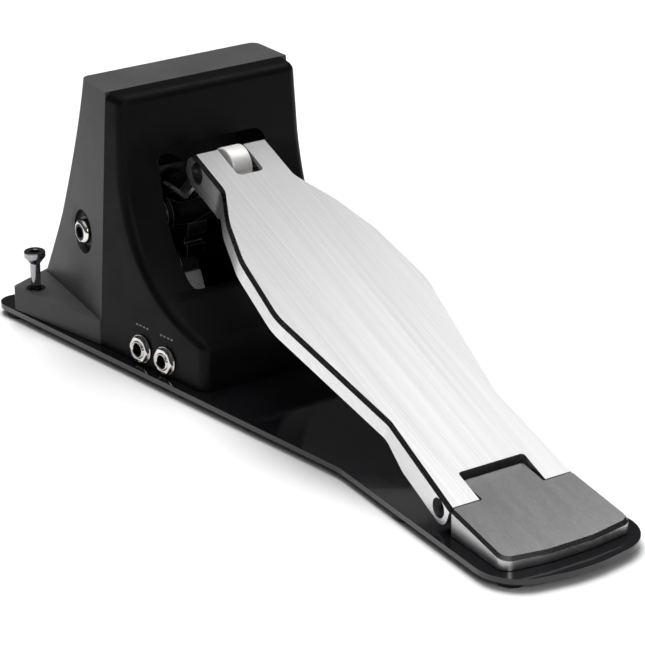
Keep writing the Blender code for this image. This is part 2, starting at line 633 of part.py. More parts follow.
def build_housing():
    heights = [DECK] + [z for _, z in reversed(bezier(HOUSING_REAR, 8))]
    housing = loft("tower_housing", housing_rings(0.0, heights, SEAM), GREY_CAST)
    inner_heights = [DECK - 5.0] + [z for _, z in reversed(bezier(HOUSING_REAR, 8))][:-1]
    inner_heights.append(TOWER_TOP - WALL)
    cavity = loft("cavity", housing_rings(WALL, inner_heights, SEAM - 5.0))
    ears, bosses, holes = [], [], []
    for side in (1, -1):
        corners = EAR_OUTLINE if side > 0 else flipped(EAR_OUTLINE)
        ears.append(prism("ear", "z", rounded(corners), DECK, EAR_TOP))
        outside = side * 80.0
        bosses.append(rod("boss", BOSS_RADIUS, (side * BOSS_END, AXLE.y, AXLE.z),
                          (side * (housing_half_width(AXLE.y, AXLE.z) - 1.5), AXLE.y, AXLE.z)))
        face = side * (RECESS_FACE - BOLT_RECESS_DEPTH)
        holes.append(rod("recess", BOLT_RECESS_RADIUS, (face, AXLE.y, AXLE.z), (outside, AXLE.y, AXLE.z),
                         sides=32))
        holes.append(rod("bolt_hole", 3.4, (side * (BOSS_END - 2), AXLE.y, AXLE.z), (outside, AXLE.y, AXLE.z),
                         sides=22))
        x, y = side * ANCHOR[0], ANCHOR[1]
        holes.append(rod("anchor_hole", 5.3, (x, y, 0), (x, y, 30)))
        holes += [screw_hole(side * x, y, HOUSING_SCREW_TOP + GAP) for x, y in HOUSING_SCREWS]
    cut(housing, cavity)
    join(housing, *ears, *bosses)
    cut(housing, *holes)
    smooth(housing, 25)
    for side, name in ((-1, "left"), (1, "right")):
        x, y = side * ANCHOR[0], ANCHOR[1]
        smooth(ring(f"anchor_insert_{name}", 3.3, 5.0, (x, y, DECK + 0.3), (x, y, EAR_TOP - 0.3), BRASS))
        profile = [(0.0, 2.0), (0.6, 2.0), (2.9, 6.0), (2.9, 35.6), (5.9, 39.4), (5.9, 42.2),
                   (5.4, 42.6), (2.6, 42.6), (2.6, 39.2), (0.0, 39.2)]
        smooth(turned(f"anchor_bolt_{name}", profile, (x, y, 0.0), (0, 0, 1), CHROME))
        for (sx, sy), spot in zip(HOUSING_SCREWS, ("front", "rear")):
            screw_from_below(f"housing_screw_{spot}_{name}", side * sx, sy, HOUSING_SCREW_TOP)
        face = RECESS_FACE - BOLT_RECESS_DEPTH + GAP
        profile = [(0.0, face + 3.2), (3.0, face + 3.2), (3.0, face + 6.0), (6.2, face + 6.0),
                   (6.8, face + 5.2), (6.8, face), (3.0, face), (3.0, 28.0), (0.0, 28.0)]
        smooth(turned(f"axle_bolt_{name}", profile, (0, AXLE.y, AXLE.z), (side, 0, 0), CHROME))
    end, depth = BOSS_END - GAP, 26.0
    profile = [(0.0, -depth), (3.3, -depth), (3.3, -end), (AXLE_RADIUS, -end), (AXLE_RADIUS, end),
               (3.3, end), (3.3, depth), (0.0, depth)]
    smooth(turned("main_axle", profile, AXLE, (1, 0, 0), STEEL))


def cover_half_width(y, z):
    return WIDTH_AT_SEAM + 0.157 * (y - SEAM) - 0.0513 * (z - PLATE_TOP)


def cover_solid(name, inset, rear, bottom, bevel, mat=None):
    """The cover's outer or inner shape: a swept front profile between two leaning sides."""
    toe, toe_top = COVER_FRONT[2][0] + inset, COVER_FRONT[2][1] - inset
    curve = [(y + inset * 0.9, z - inset * 0.75) for y, z in bezier(COVER_FRONT, 10)[:-1]]
    outline = [(115.0 + inset, COVER_TOP - inset)] + curve
    outline += [(toe + 0.01, toe_top), (toe, bottom), (rear, bottom), (rear, COVER_TOP - inset)]
    bm = prism_bm("x", outline, -90.0, 90.0)
    for side in (1, -1):
        normal = Vector((side, -0.157, 0.0513))
        middle = Vector((side * (cover_half_width(80.0, 40.0) - inset * normal.length), 80.0, 40.0))
        geometry = bm.verts[:] + bm.edges[:] + bm.faces[:]
        result = bmesh.ops.bisect_plane(bm, geom=geometry, plane_co=middle, plane_no=normal, clear_outer=True)
        rim = [e for e in result["geom_cut"] if isinstance(e, bmesh.types.BMEdge)]
        bmesh.ops.contextual_create(bm, geom=rim)
    bmesh.ops.recalc_face_normals(bm, faces=bm.faces)
    if bevel:
        def turns(edge):
            seam = all(abs(v.co.y - rear) < 0.01 for v in edge.verts)
            floor = all(abs(v.co.z - bottom) < 0.01 for v in edge.verts)
            return not seam and not floor and edge.calc_face_angle(0.0) > math.radians(35)
        edges = [e for e in bm.edges if turns(e)]
        bmesh.ops.bevel(bm, geom=edges, offset=bevel, segments=3, profile=0.5, affect="EDGES")
    return make(name, bm, mat)


def jack_frame(name):
    """Centre of a jack on the cover's left side and the direction that its plug leaves in."""
    y, z = JACKS[name]
    centre = Vector((-cover_half_width(y, z), y, z))
    return centre, Vector((-1.0, -0.157, 0.0513)).normalized()


def build_cover():
    cover = cover_solid("front_cover", 0.0, SEAM - GAP, DECK, COVER_ROUND, BLACK_PLASTIC)
    cut(cover, cover_solid("inside", COVER_WALL, SEAM + 5.0, DECK - 5.0, 0.0))
    join(cover, *[rod("post", 5.0, (x, y, DECK), (x, y, 32.6), sides=16) for x, y in COVER_SCREWS])
    corners = [(OPENING_HALF, OPENING_LOW, 6.0), (OPENING_HALF, OPENING_HIGH, 8.0)]
    opening = prism("opening", "y", rounded(mirrored(corners)), 30.0, 126.0)
    tools = [opening] + [screw_hole(x, y, COVER_SCREW_TOP + GAP) for x, y in COVER_SCREWS]
    for name in JACKS:
        centre, out = jack_frame(name)
        tools.append(rod("jack_hole", JACK_BARREL + GAP, centre - out * 10.0, centre + out * 5.0))
    cut(cover, *tools)
    smooth(cover)
    for (x, y), side in zip(COVER_SCREWS, ("right", "left")):
        screw_from_below(f"cover_screw_{side}", x, y, COVER_SCREW_TOP)


def build_jacks():
    hex_radius = NUT_ACROSS / math.sqrt(3)
    for name in JACKS:
        centre, out = jack_frame(name)
        inner = COVER_WALL + 3.0
        smooth(ring(f"{name}_jack_barrel", JACK_BORE, JACK_BARREL, centre - out * inner, centre + out * 3.6,
                    CHROME))
        nut = turned(f"{name}_jack_nut", [(JACK_BARREL + GAP, 0.3), (hex_radius, 0.3), (hex_radius, 2.6),
                                          (JACK_BARREL + GAP, 2.6)], centre, out, CHROME, 6)
        nut_hole = rod("hole", JACK_BARREL + GAP, centre - out * 2.0, centre + out * 8.0)
        cut(nut, nut_hole)
        case = turned(f"{name}_jack_case", [(0.0, 0.0), (6.4, 0.0), (6.4, 17.0), (0.0, 17.0)],
                      centre - out * (inner + GAP), -out, BLACK_PLASTIC, 8)
        smooth(case, 20)
    prism("circuit_board", "z", rounded([(-48.0, 66.0, 2.0), (-16.0, 66.0, 2.0), (-16.0, 100.0, 2.0),
                                         (-48.0, 100.0, 2.0)]), 25.0, 26.6, BOARD_GREEN)


def clear_scene():
    for obj in list(bpy.data.objects):
        bpy.data.objects.remove(obj)


clear_scene()
build_base()
build_heel()
build_footboard()
build_rocker()
build_springs()
build_sensor()
build_housing()
build_cover()
build_jacks()
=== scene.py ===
"""Looks of the kick trigger pedal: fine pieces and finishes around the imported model.

Lengths in the tables are millimetres in the model's own frame; MM turns them into metres.
"""
import json
import math
import bmesh
import bpy
from mathutils import Matrix, Vector

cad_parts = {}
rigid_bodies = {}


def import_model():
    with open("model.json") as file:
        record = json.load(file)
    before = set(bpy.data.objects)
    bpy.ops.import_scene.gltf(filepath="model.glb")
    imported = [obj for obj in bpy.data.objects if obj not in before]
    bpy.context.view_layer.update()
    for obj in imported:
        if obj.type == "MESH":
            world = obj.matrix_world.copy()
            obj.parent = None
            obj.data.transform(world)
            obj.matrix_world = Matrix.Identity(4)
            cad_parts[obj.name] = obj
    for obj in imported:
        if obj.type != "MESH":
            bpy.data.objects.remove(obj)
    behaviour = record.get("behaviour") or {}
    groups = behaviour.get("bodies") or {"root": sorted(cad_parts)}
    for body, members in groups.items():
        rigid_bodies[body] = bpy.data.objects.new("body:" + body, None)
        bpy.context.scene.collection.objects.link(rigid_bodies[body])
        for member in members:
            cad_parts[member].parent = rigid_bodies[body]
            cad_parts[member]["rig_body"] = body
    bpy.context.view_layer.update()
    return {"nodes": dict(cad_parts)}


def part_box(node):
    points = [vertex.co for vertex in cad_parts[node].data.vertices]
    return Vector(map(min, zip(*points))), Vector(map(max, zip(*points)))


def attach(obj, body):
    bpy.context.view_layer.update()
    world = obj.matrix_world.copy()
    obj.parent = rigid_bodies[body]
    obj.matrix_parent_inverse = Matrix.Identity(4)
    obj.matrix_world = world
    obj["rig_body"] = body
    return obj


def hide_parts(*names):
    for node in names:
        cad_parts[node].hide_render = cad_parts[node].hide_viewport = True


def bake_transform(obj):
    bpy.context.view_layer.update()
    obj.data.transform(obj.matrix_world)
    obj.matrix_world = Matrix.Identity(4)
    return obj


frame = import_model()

NODES = frame["nodes"]
MM = 0.001
GAP = 0.3
SIDES = 72                     # facets round a turned piece
ARC_POINTS = 9                 # steps on a rounded corner

# ---- base plate and heel block
PLATE_BOTTOM, PLATE_TOP, DECK = 3.9, 6.9, 7.2
PLATE_OUTLINE = [(8.0, -215.3, 60.0), (46.0, -208.5, 24.0), (39.4, -66.8, 40.0), (82.2, 215.3, 9.0)]
HEEL_TOP = [(13.0, -201.4, 30.0), (36.4, -197.9, 5.0), (35.0, -156.3, 1.0), (18.0, -156.3, 1.0),
            (18.0, -139.6, 1.5)]
HEEL_SHOULDER = [(13.0, -203.0, 30.0), (38.0, -199.5, 6.5), (36.5, -156.3, 1.0), (18.0, -156.3, 1.0),
                 (18.0, -139.6, 1.5)]
HEEL_CHAMFER = 1.7
HEEL_TOP_POINT, HEEL_SLOPE = (-155.9, 21.1), 0.1667

# ---- footboard
HINGE = Vector((0.0, -145.6, 17.1))
BOARD_SLOPE = math.radians(20.97)
BOARD_TOP = 7.42
BOARD_CHAMFER = (1.6, 2.4)     # width and drop of the edge band
BOARD_OUTLINE = [(35.0, -12.0, 0.0), (31.0, 52.0, 15.0), (44.9, 136.0, 42.0), (40.2, 178.5, 60.0),
                 (31.9, 206.5, 60.0), (21.0, 229.5, 16.0), (21.0, 268.0, 0.0)]
BOARD_SIDE = [(-8.2, 7.42, 0.5), (-8.2, -7.0, 6.5), (32.0, -7.0, 10.0), (48.0, -3.1, 10.0),
              (221.0, -3.1, 8.0), (228.0, -9.8, 5.0), (258.0, -10.2, 4.0), (264.2, -6.0, 5.0),
              (264.2, 1.5, 4.0), (260.2, 7.42, 0.5)]
NOTCH_HALF, NOTCH_END = 19.45, 11.0
SLOT_HALF, SLOT_END = 8.0, 238.0
CHEEK_INNER, NECK_SKIN = 15.5, 3.0
SHAFT_RADIUS, BUSH_RADIUS, PIN_RADIUS = 3.5, 4.9, 3.0
ROLLER = Vector((0.0, 92.5, 107.6))
ROLLER_RADIUS, ROLLER_HALF = 10.4, 6.0

# ---- rocker and springs
AXLE = Vector((0.0, 154.2, 62.2))
CROSSBAR = Vector((0.0, 174.2, 62.2))
CROSSBAR_RADIUS, SPRING_X = 2.5, 20.0

# ---- tower housing and front cover
SEAM, TOWER_TOP, WALL, COVER_WALL = 127.3, 148.5, 3.5, 3.0
WIDTH_AT_SEAM = 63.1           # half the tower's width at the seam and the plate
FLARE, LEAN = 0.157, 0.0513    # how that half width grows with y and shrinks with z
HOUSING_REAR = [(156.3, 148.5), (166.8, 94.3), (210.0, 19.5)]
COVER_FRONT = [(113.0, 110.0), (105.3, 45.7), (43.5, 33.3)]
COVER_TOP, COVER_ROUND = 148.2, 5.0
OPENING_HALF, OPENING_LOW, OPENING_HIGH = 33.0, 46.5, 117.0
EAR_TOP = 20.7
EAR_OUTLINE = [(58.9, 127.6, 0.0), (63.4, 127.6, 1.5), (79.0, 196.2, 2.5), (48.0, 210.2, 2.0)]
ANCHOR = (69.5, 187.3)
HOUSING_SCREWS = [(62.0, 150.0), (58.0, 198.0)]
RECESS_FACE, RECESS_RADIUS, RECESS_DEPTH, BOSS_RADIUS, BOSS_END = 56.9, 12.0, 4.0, 15.0, 40.0
OUTSIDE = 80.0                 # clear of the housing's side
HEEL_SCREWS = [(23.0, -178.0), (-23.0, -178.0)]
COVER_SCREWS = [(38.0, 51.5), (-38.0, 51.5)]
SENSOR_SCREWS = [(9.0, 189.0), (-9.0, 189.0)]
JACKS = {"output": (93.4, 15.9), "mix": (73.8, 15.5)}
JACK_BORE, JACK_BARREL, NUT_ACROSS = 3.6, 4.8, 12.7
MARK_HEIGHT = 28.5             # middle of the printed dashes above the jacks
MARK_LENGTH, MARK_PITCH, MARK_HALF_WIDTH = 1.9, 2.8, 0.45

# ---- finishes
STEEL_TONES = (0.42, 0.41, 0.39), (0.62, 0.60, 0.57)

# ---- stage: places and sizes in metres, powers in watts
FLOOR_REACH = 6.0
# height, grey for red and green, blue
SKY = [(0.38, 0.06, 0.064), (0.66, 0.13, 0.1326), (0.80, 0.36, 0.3672), (0.90, 0.75, 0.75)]
# name, place, target, size, power, seen in gloss
LIGHTS = [("overhead_softbox", (0.08, 0.45, 1.7), (0.0, 0.0, 0.05), (1.0, 1.3), 30.0, False),
          ("board_softbox", (0.8, 0.05, 1.3), (0.0, 0.0, 0.05), (1.0, 0.9), 2.9, True),
          ("front_light", (-0.3, -1.3, 0.75), (0.0, 0.1, 0.06), (0.5, 0.4), 3.2, True)]
CAMERA_PLACE, CAMERA_TARGET = (-0.7697, -1.1563, 0.6518), (-0.0307, -0.0392, 0.0724)
CAMERA_LENS, CAMERA_SENSOR = 166.0, 36.0


# ------------------------------------------------------------------ finishes
def look(name, colour, roughness, metallic=0.0, sockets=None):
    mat = bpy.data.materials.new(name)
    mat.use_nodes = True
    shader = mat.node_tree.nodes["Principled BSDF"]
    shader.inputs["Base Color"].default_value = (*colour, 1.0)
    shader.inputs["Roughness"].default_value = roughness
    shader.inputs["Metallic"].default_value = metallic
    for socket, value in (sockets or {}).items():
        shader.inputs[socket].default_value = value
    return mat


def grain(mat, stretch, detail=3.0):
    """Noise in the piece's own coordinates; stretch gives its cycles for each metre along x, y, z."""
    tree = mat.node_tree
    coords = tree.nodes.new("ShaderNodeTexCoord")
    mapping = tree.nodes.new("ShaderNodeMapping")
    mapping.inputs["Scale"].default_value = stretch
    tree.links.new(coords.outputs["Object"], mapping.inputs["Vector"])
    noise = tree.nodes.new("ShaderNodeTexNoise")
    noise.inputs["Scale"].default_value = 1.0
    noise.inputs["Detail"].default_value = detail
    tree.links.new(mapping.outputs["Vector"], noise.inputs["Vector"])
    return noise.outputs["Fac"]


def vary_roughness(mat, value, low, high):
    tree = mat.node_tree
    spread = tree.nodes.new("ShaderNodeMapRange")
    spread.inputs["From Min"].default_value = 0.3
    spread.inputs["From Max"].default_value = 0.7
    spread.inputs["To Min"].default_value = low
    spread.inputs["To Max"].default_value = high
    tree.links.new(value, spread.inputs["Value"])
    tree.links.new(spread.outputs["Result"], tree.nodes["Principled BSDF"].inputs["Roughness"])


def vary_colour(mat, value, dark, light, low=0.3, high=0.7):
    tree = mat.node_tree
    ramp = tree.nodes.new("ShaderNodeValToRGB")
    ramp.color_ramp.elements[0].position = low
    ramp.color_ramp.elements[0].color = (*dark, 1.0)
    ramp.color_ramp.elements[1].position = high
    ramp.color_ramp.elements[1].color = (*light, 1.0)
    tree.links.new(value, ramp.inputs["Fac"])
    tree.links.new(ramp.outputs["Color"], tree.nodes["Principled BSDF"].inputs["Base Color"])


def raise_grain(mat, value, height, strength=1.0):
    """Bump of a height in millimetres."""
    tree = mat.node_tree
    shader = tree.nodes["Principled BSDF"]
    bump = tree.nodes.new("ShaderNodeBump")
    bump.inputs["Strength"].default_value = strength
    bump.inputs["Distance"].default_value = height * MM
    tree.links.new(value, bump.inputs["Height"])
    if shader.inputs["Normal"].links:
        tree.links.new(shader.inputs["Normal"].links[0].from_socket, bump.inputs["Normal"])
    tree.links.new(bump.outputs["Normal"], shader.inputs["Normal"])


def brushed(name, dark, light, rough, along="y"):
    """Metal brushed in one direction: long fine streaks in colour, roughness and height."""
    mat = look(name, light, rough[0], 1.0)
    fine = {"y": (1700.0, 7.0, 1700.0), "x": (7.0, 1700.0, 1700.0)}[along]
    broad = {"y": (260.0, 3.0, 260.0), "x": (3.0, 260.0, 260.0)}[along]
    streaks = grain(mat, fine, 5.0)
    vary_colour(mat, streaks, dark, light)
    vary_roughness(mat, grain(mat, broad), *rough)
    raise_grain(mat, streaks, 0.02, 0.35)
    return mat


def lathed(name, dark, light, rough, axis="x", metallic=1.0):
    """Metal turned on a lathe: rings of fine lines round an axis."""
    mat = look(name, light, rough[0], metallic)
    lines = {"x": (2200.0, 25.0, 25.0), "z": (25.0, 25.0, 2200.0)}[axis]
    value = grain(mat, lines, 4.0)
    vary_colour(mat, value, dark, light)
    vary_roughness(mat, value, *rough)
    raise_grain(mat, value, 0.01, 0.3)
    return mat


def make_finishes():
    plate = look("gloss_black_paint", (0.006, 0.006, 0.0075), 0.10, 0.0,
                 {"Specular IOR Level": 0.45, "Coat Weight": 0.35, "Coat Roughness": 0.03})
    vary_roughness(plate, grain(plate, (90.0, 90.0, 90.0)), 0.07, 0.14)
    raise_grain(plate, grain(plate, (450.0, 450.0, 450.0), 1.0), 0.012, 0.25)
    cast = look("powder_coated_casting", (0.075, 0.075, 0.077), 0.5, 0.25, {"Specular IOR Level": 0.4})
    vary_colour(cast, grain(cast, (38.0, 38.0, 38.0)), (0.074, 0.073, 0.072), (0.096, 0.095, 0.097))
    speckle = grain(cast, (2600.0, 2600.0, 2600.0), 2.0)
    vary_roughness(cast, speckle, 0.42, 0.6)
    raise_grain(cast, speckle, 0.05, 0.35)
    plastic = look("satin_black_moulding", (0.0030, 0.0030, 0.0032), 0.42, 0.0,
                   {"Specular IOR Level": 0.12})
    vary_roughness(plastic, grain(plastic, (60.0, 60.0, 60.0)), 0.38, 0.5)
    raise_grain(plastic, grain(plastic, (3200.0, 3200.0, 3200.0), 2.0), 0.03, 0.25)
    board = brushed("brushed_board", (0.70, 0.70, 0.705), (0.82, 0.82, 0.825), (0.30, 0.36))
    heel = brushed("brushed_heel", (0.50, 0.50, 0.505), (0.61, 0.61, 0.61), (0.29, 0.34))
    # Dark metal for the board's and heel's chamfer bands: painted shade, standing for the dark surroundings
    # those chamfers reflect.
    edge = look("chamfer_painted_dark", (0.17, 0.17, 0.175), 0.22, 1.0)
    vary_roughness(edge, grain(edge, (900.0, 60.0, 900.0)), 0.18, 0.32)
    chrome = look("warm_chrome", (0.72, 0.69, 0.65), 0.1, 1.0)
    vary_roughness(chrome, grain(chrome, (300.0, 300.0, 300.0)), 0.06, 0.16)
    vary_colour(chrome, grain(chrome, (120.0, 120.0, 120.0)), (0.62, 0.59, 0.55), (0.80, 0.78, 0.75))
    bolt = look("polished_bolt", (0.34, 0.34, 0.36), 0.1, 1.0)
    vary_roughness(bolt, grain(bolt, (400.0, 400.0, 400.0)), 0.08, 0.2)
    # Near-white part-metal for the hammer weight, the yoke bracket and the rocker's rounded edges: painted
    # highlights where they catch light in the dark opening.
    painted_highlight = look("near_white_nickel_painted_glint", (0.93, 0.92, 0.91), 0.3, 0.4)
    vary_roughness(painted_highlight, grain(painted_highlight, (500.0, 500.0, 500.0)), 0.25, 0.4)
    dark = look("blackened_steel", (0.03, 0.03, 0.033), 0.35, 0.85)
    mottle = grain(dark, (700.0, 700.0, 700.0))
    vary_colour(dark, mottle, (0.022, 0.022, 0.024), (0.05, 0.05, 0.054))
    vary_roughness(dark, mottle, 0.28, 0.5)
    raise_grain(dark, mottle, 0.04, 0.4)
    rubber = look("moulded_rubber", (0.013, 0.013, 0.013), 0.8)
    scuff = grain(rubber, (1500.0, 1500.0, 1500.0))
    vary_colour(rubber, scuff, (0.010, 0.010, 0.010), (0.022, 0.022, 0.022))
    vary_roughness(rubber, scuff, 0.65, 0.9)
    raise_grain(rubber, scuff, 0.08, 0.5)
    foam = look("open_cell_foam", (0.09, 0.09, 0.09), 0.95)
    cells = grain(foam, (1900.0, 1900.0, 1900.0), 4.0)
    vary_colour(foam, cells, (0.035, 0.035, 0.035), (0.14, 0.14, 0.14))
    vary_roughness(foam, cells, 0.85, 1.0)
    raise_grain(foam, cells, 0.25, 0.8)
    brass = lathed("turned_brass", (0.50, 0.35, 0.13), (0.66, 0.50, 0.22), (0.2, 0.34))
    green = look("solder_mask", (0.02, 0.11, 0.045), 0.35, 0.0, {"Coat Weight": 0.3})
    tracks = grain(green, (220.0, 900.0, 220.0), 0.0)
    vary_colour(green, tracks, (0.012, 0.085, 0.035), (0.03, 0.16, 0.07), 0.48, 0.52)
    raise_grain(green, tracks, 0.03, 0.5)
    ink = look("white_ink", (0.62, 0.62, 0.62), 0.6)
    vary_colour(ink, grain(ink, (2500.0, 2500.0, 2500.0)), (0.5, 0.5, 0.5), (0.7, 0.7, 0.7))
    return {"plate": plate, "cast": cast, "plastic": plastic, "board": board, "heel": heel,
            "edge": edge, "chrome": chrome, "dark": dark, "rubber": rubber, "foam": foam,
            "brass": brass, "green": green, "ink": ink, "bolt": bolt, "painted_highlight": painted_highlight,
            # The roller's turned steel is lightened to near white with little metal: a painted highlight on
            # the roller.
            "roller": lathed("turned_roller", (0.78, 0.76, 0.73), (0.95, 0.93, 0.90), (0.28, 0.38),
                             metallic=0.35),
            "steel": lathed("turned_steel", *STEEL_TONES, (0.2, 0.36)),
            "upright": lathed("upright_steel", *STEEL_TONES, (0.2, 0.36), "z")}


LOOKS = make_finishes()


# ------------------------------------------------------------------ shape helpers
def rounded(corners, steps=ARC_POINTS):
    """A closed outline from (a, b, radius) corners; every rounded corner gets the same number of points."""
    outline = []
    count = len(corners)
    for i, (a, b, radius) in enumerate(corners):
        here = Vector((a, b))
        back = (Vector(corners[i - 1][:2]) - here).normalized()
        ahead = (Vector(corners[(i + 1) % count][:2]) - here).normalized()
        if radius <= 0.0:
            outline.append((a, b))
            continue
        half = back.angle(ahead) / 2
        centre = here + (back + ahead).normalized() * (radius / math.sin(half))
        start = here + back * (radius / math.tan(half)) - centre
        side = 1.0 if back.x * ahead.y - back.y * ahead.x < 0 else -1.0
        for k in range(steps + 1):
            angle = side * (math.pi - 2 * half) * k / steps
            cos, sin = math.cos(angle), math.sin(angle)
            outline.append((centre.x + start.x * cos - start.y * sin,
                            centre.y + start.x * sin + start.y * cos))
    return outline


def mirrored(corners):
    return corners + [(-a, b, r) for a, b, r in reversed(corners)]


def flipped(corners):
    return [(-a, b, r) for a, b, r in reversed(corners)]


def grown(outline, amount):
    """An outline moved outwards, square to itself."""
    points = [Vector(p) for p in outline]
    count = len(points)
    area = sum(p.x * q.y - q.x * p.y for p, q in zip(points, points[1:] + points[:1]))
    side = 1.0 if area > 0 else -1.0
    result = []
    for i, here in enumerate(points):
        back = (here - points[i - 1]).normalized()
        ahead = (points[(i + 1) % count] - here).normalized()
        outward = Vector((back.y + ahead.y, -back.x - ahead.x)).normalized() * side
        share = max(0.5, outward.dot(Vector((ahead.y, -ahead.x)) * side))
        result.append(tuple(here + outward * amount / share))
    return result


def bezier(control, steps):
    (a0, b0), (a1, b1), (a2, b2) = control
    points = []
    for k in range(steps + 1):
        t = k / steps
        w0, w1, w2 = (1 - t) ** 2, 2 * t * (1 - t), t * t
        points.append((w0 * a0 + w1 * a1 + w2 * a2, w0 * b0 + w1 * b1 + w2 * b2))
    return points


def place(axis, a, b, along):
    return {"x": (along, a, b), "y": (a, along, b), "z": (a, b, along)}[axis]


def make(name, bm):
    bmesh.ops.recalc_face_normals(bm, faces=bm.faces)
    bmesh.ops.scale(bm, vec=(MM, MM, MM), verts=bm.verts)
    mesh = bpy.data.meshes.new(name)
    bm.to_mesh(mesh)
    bm.free()
    obj = bpy.data.objects.new(name, mesh)
    bpy.context.scene.collection.objects.link(obj)
    return obj


def loft(name, rings):
    bm = bmesh.new()
    levels = [[bm.verts.new(p) for p in ring] for ring in rings]
    count = len(rings[0])
    for lower, upper in zip(levels, levels[1:]):
        for i in range(count):
            j = (i + 1) % count
            bm.faces.new((lower[i], lower[j], upper[j], upper[i]))
    bm.faces.new(levels[0][::-1])
    bm.faces.new(levels[-1])
    return make(name, bm)


def prism(name, axis, outline, low, high):
    return loft(name, [[place(axis, a, b, along) for a, b in outline] for along in (low, high)])


def turned(name, profile, centre, direction, sides=SIDES):
    """A body turned about an axis from (radius, distance) points; radius 0 closes an end."""
    basis = Vector(direction).normalized().to_track_quat("Z", "Y").to_matrix()
    centre = Vector(centre)
    bm = bmesh.new()
    rings = []
    for radius, along in profile:
        if radius == 0.0:
            rings.append([bm.verts.new(centre + basis @ Vector((0, 0, along)))])
            continue
        ring = []
        for k in range(sides):
            angle = 2 * math.pi * k / sides
            ring.append(bm.verts.new(centre + basis @ Vector((radius * math.cos(angle),
                                                              radius * math.sin(angle), along))))
        rings.append(ring)
    pairs = list(zip(rings, rings[1:]))
    if profile[0][0] > 0.0:
        pairs.append((rings[-1], rings[0]))
    for first, second in pairs:
        for k in range(sides):
            j = (k + 1) % sides
            corners = (first[k % len(first)], first[j % len(first)],
                       second[j % len(second)], second[k % len(second)])
            bm.faces.new(list(dict.fromkeys(corners)))
    return make(name, bm)


def rod(name, radius, start, end, sides=48):
    start, end = Vector(start), Vector(end)
    length = (end - start).length
    return turned(name, [(0.0, 0.0), (radius, 0.0), (radius, length), (0.0, length)],
                  start, end - start, sides)


def bar(name, radius, start, end, edge=0.4):
    """A rod with chamfered ends."""
    start, end = Vector(start), Vector(end)
    length = (end - start).length
    return turned(name, [(0.0, 0.0), (radius - edge, 0.0), (radius, edge), (radius, length - edge),
                         (radius - edge, length), (0.0, length)], start, end - start)


def ring(name, inner, outer, start, end, edge=0.3):
    start, end = Vector(start), Vector(end)
    length = (end - start).length
    return turned(name, [(inner, edge), (inner + edge, 0.0), (outer - edge, 0.0), (outer, edge),
                         (outer, length - edge), (outer - edge, length), (inner + edge, length),
                         (inner, length - edge)], start, end - start)


def sweep(name, points, radius, sides=14):
    points = [Vector(p) for p in points]
    rings, normal = [], None
    for i, point in enumerate(points):
        ahead = (points[min(i + 1, len(points) - 1)] - points[max(i - 1, 0)]).normalized()
        if normal is None:
            normal = ahead.orthogonal().normalized()
        normal = (normal - ahead * normal.dot(ahead)).normalized()
        across = ahead.cross(normal)
        rings.append([point + radius * (normal * math.cos(2 * math.pi * k / sides)
                                        + across * math.sin(2 * math.pi * k / sides))
                      for k in range(sides)])
    return loft(name, rings)


def combine(target, tools, operation):
    for tool in tools:
        mod = target.modifiers.new(operation.title(), "BOOLEAN")
        mod.operation = operation
        mod.solver = "EXACT"
        mod.object = tool
    bpy.context.view_layer.update()
    shaped = target.evaluated_get(bpy.context.evaluated_depsgraph_get())
    mesh = bpy.data.meshes.new_from_object(shaped)
    target.modifiers.clear()
    target.data = mesh
    for tool in tools:
        bpy.data.objects.remove(tool)
    return target


def cut(target, *tools):
    return combine(target, tools, "DIFFERENCE")


def join(target, *tools):
    return combine(target, tools, "UNION")


def fit(obj, finish, nodes, round_edges=0.0, segments=2, angle=35.0, body=None):
    """Finish a piece, round its edges, and let it ride in place of the CAD nodes it stands for."""
    nodes = [nodes] if isinstance(nodes, str) else list(nodes)
    if not obj.data.materials:
        obj.data.materials.append(LOOKS[finish])
    obj.data.shade_smooth()
    obj.data.set_sharp_from_angle(angle=math.radians(angle))
    if round_edges:
        bevel = obj.modifiers.new("Edges", "BEVEL")
        bevel.width = round_edges * MM
        bevel.segments = segments
        bevel.limit_method = "ANGLE"
        bevel.angle_limit = math.radians(angle)
        bevel.use_clamp_overlap = True
        bevel.harden_normals = True
    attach(obj, body or NODES[nodes[0]]["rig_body"])
    if nodes:
        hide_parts(*nodes)
    return obj


def refined(node, finish, round_edges, angle=35.0, highlight_edge_finish=None):
    """A CAD node's own shape with its facets merged and its edges rounded; a second finish on the rounded
    edges paints a highlight on them.
    """
    bm = bmesh.new()
    bm.from_mesh(NODES[node].data)
    bmesh.ops.remove_doubles(bm, verts=bm.verts, dist=0.00002)
    bmesh.ops.dissolve_limit(bm, angle_limit=math.radians(1.0), verts=bm.verts, edges=bm.edges)
    mesh = bpy.data.meshes.new(node + "_fine")
    bm.to_mesh(mesh)
    bm.free()
    obj = bpy.data.objects.new(node + "_fine", mesh)
    bpy.context.scene.collection.objects.link(obj)
    mesh.materials.append(LOOKS[finish])
    fit(obj, finish, node, round_edges, 2, angle)
    # The rounded edges take the second finish: a painted highlight along them.
    if highlight_edge_finish:
        mesh.materials.append(LOOKS[highlight_edge_finish])
        obj.modifiers["Edges"].material = 1
    return obj


def repaint(node, finish):
    """A CAD node that stays as it is and gets a finish."""
    mesh = NODES[node].data
    if not mesh.materials:
        mesh.materials.append(LOOKS[finish])
    for i in range(len(mesh.materials)):
        mesh.materials[i] = LOOKS[finish]


def screw_hole(x, y, top):
    return rod("hole", 2.3, (x, y, -1.0), (x, y, top), 24)


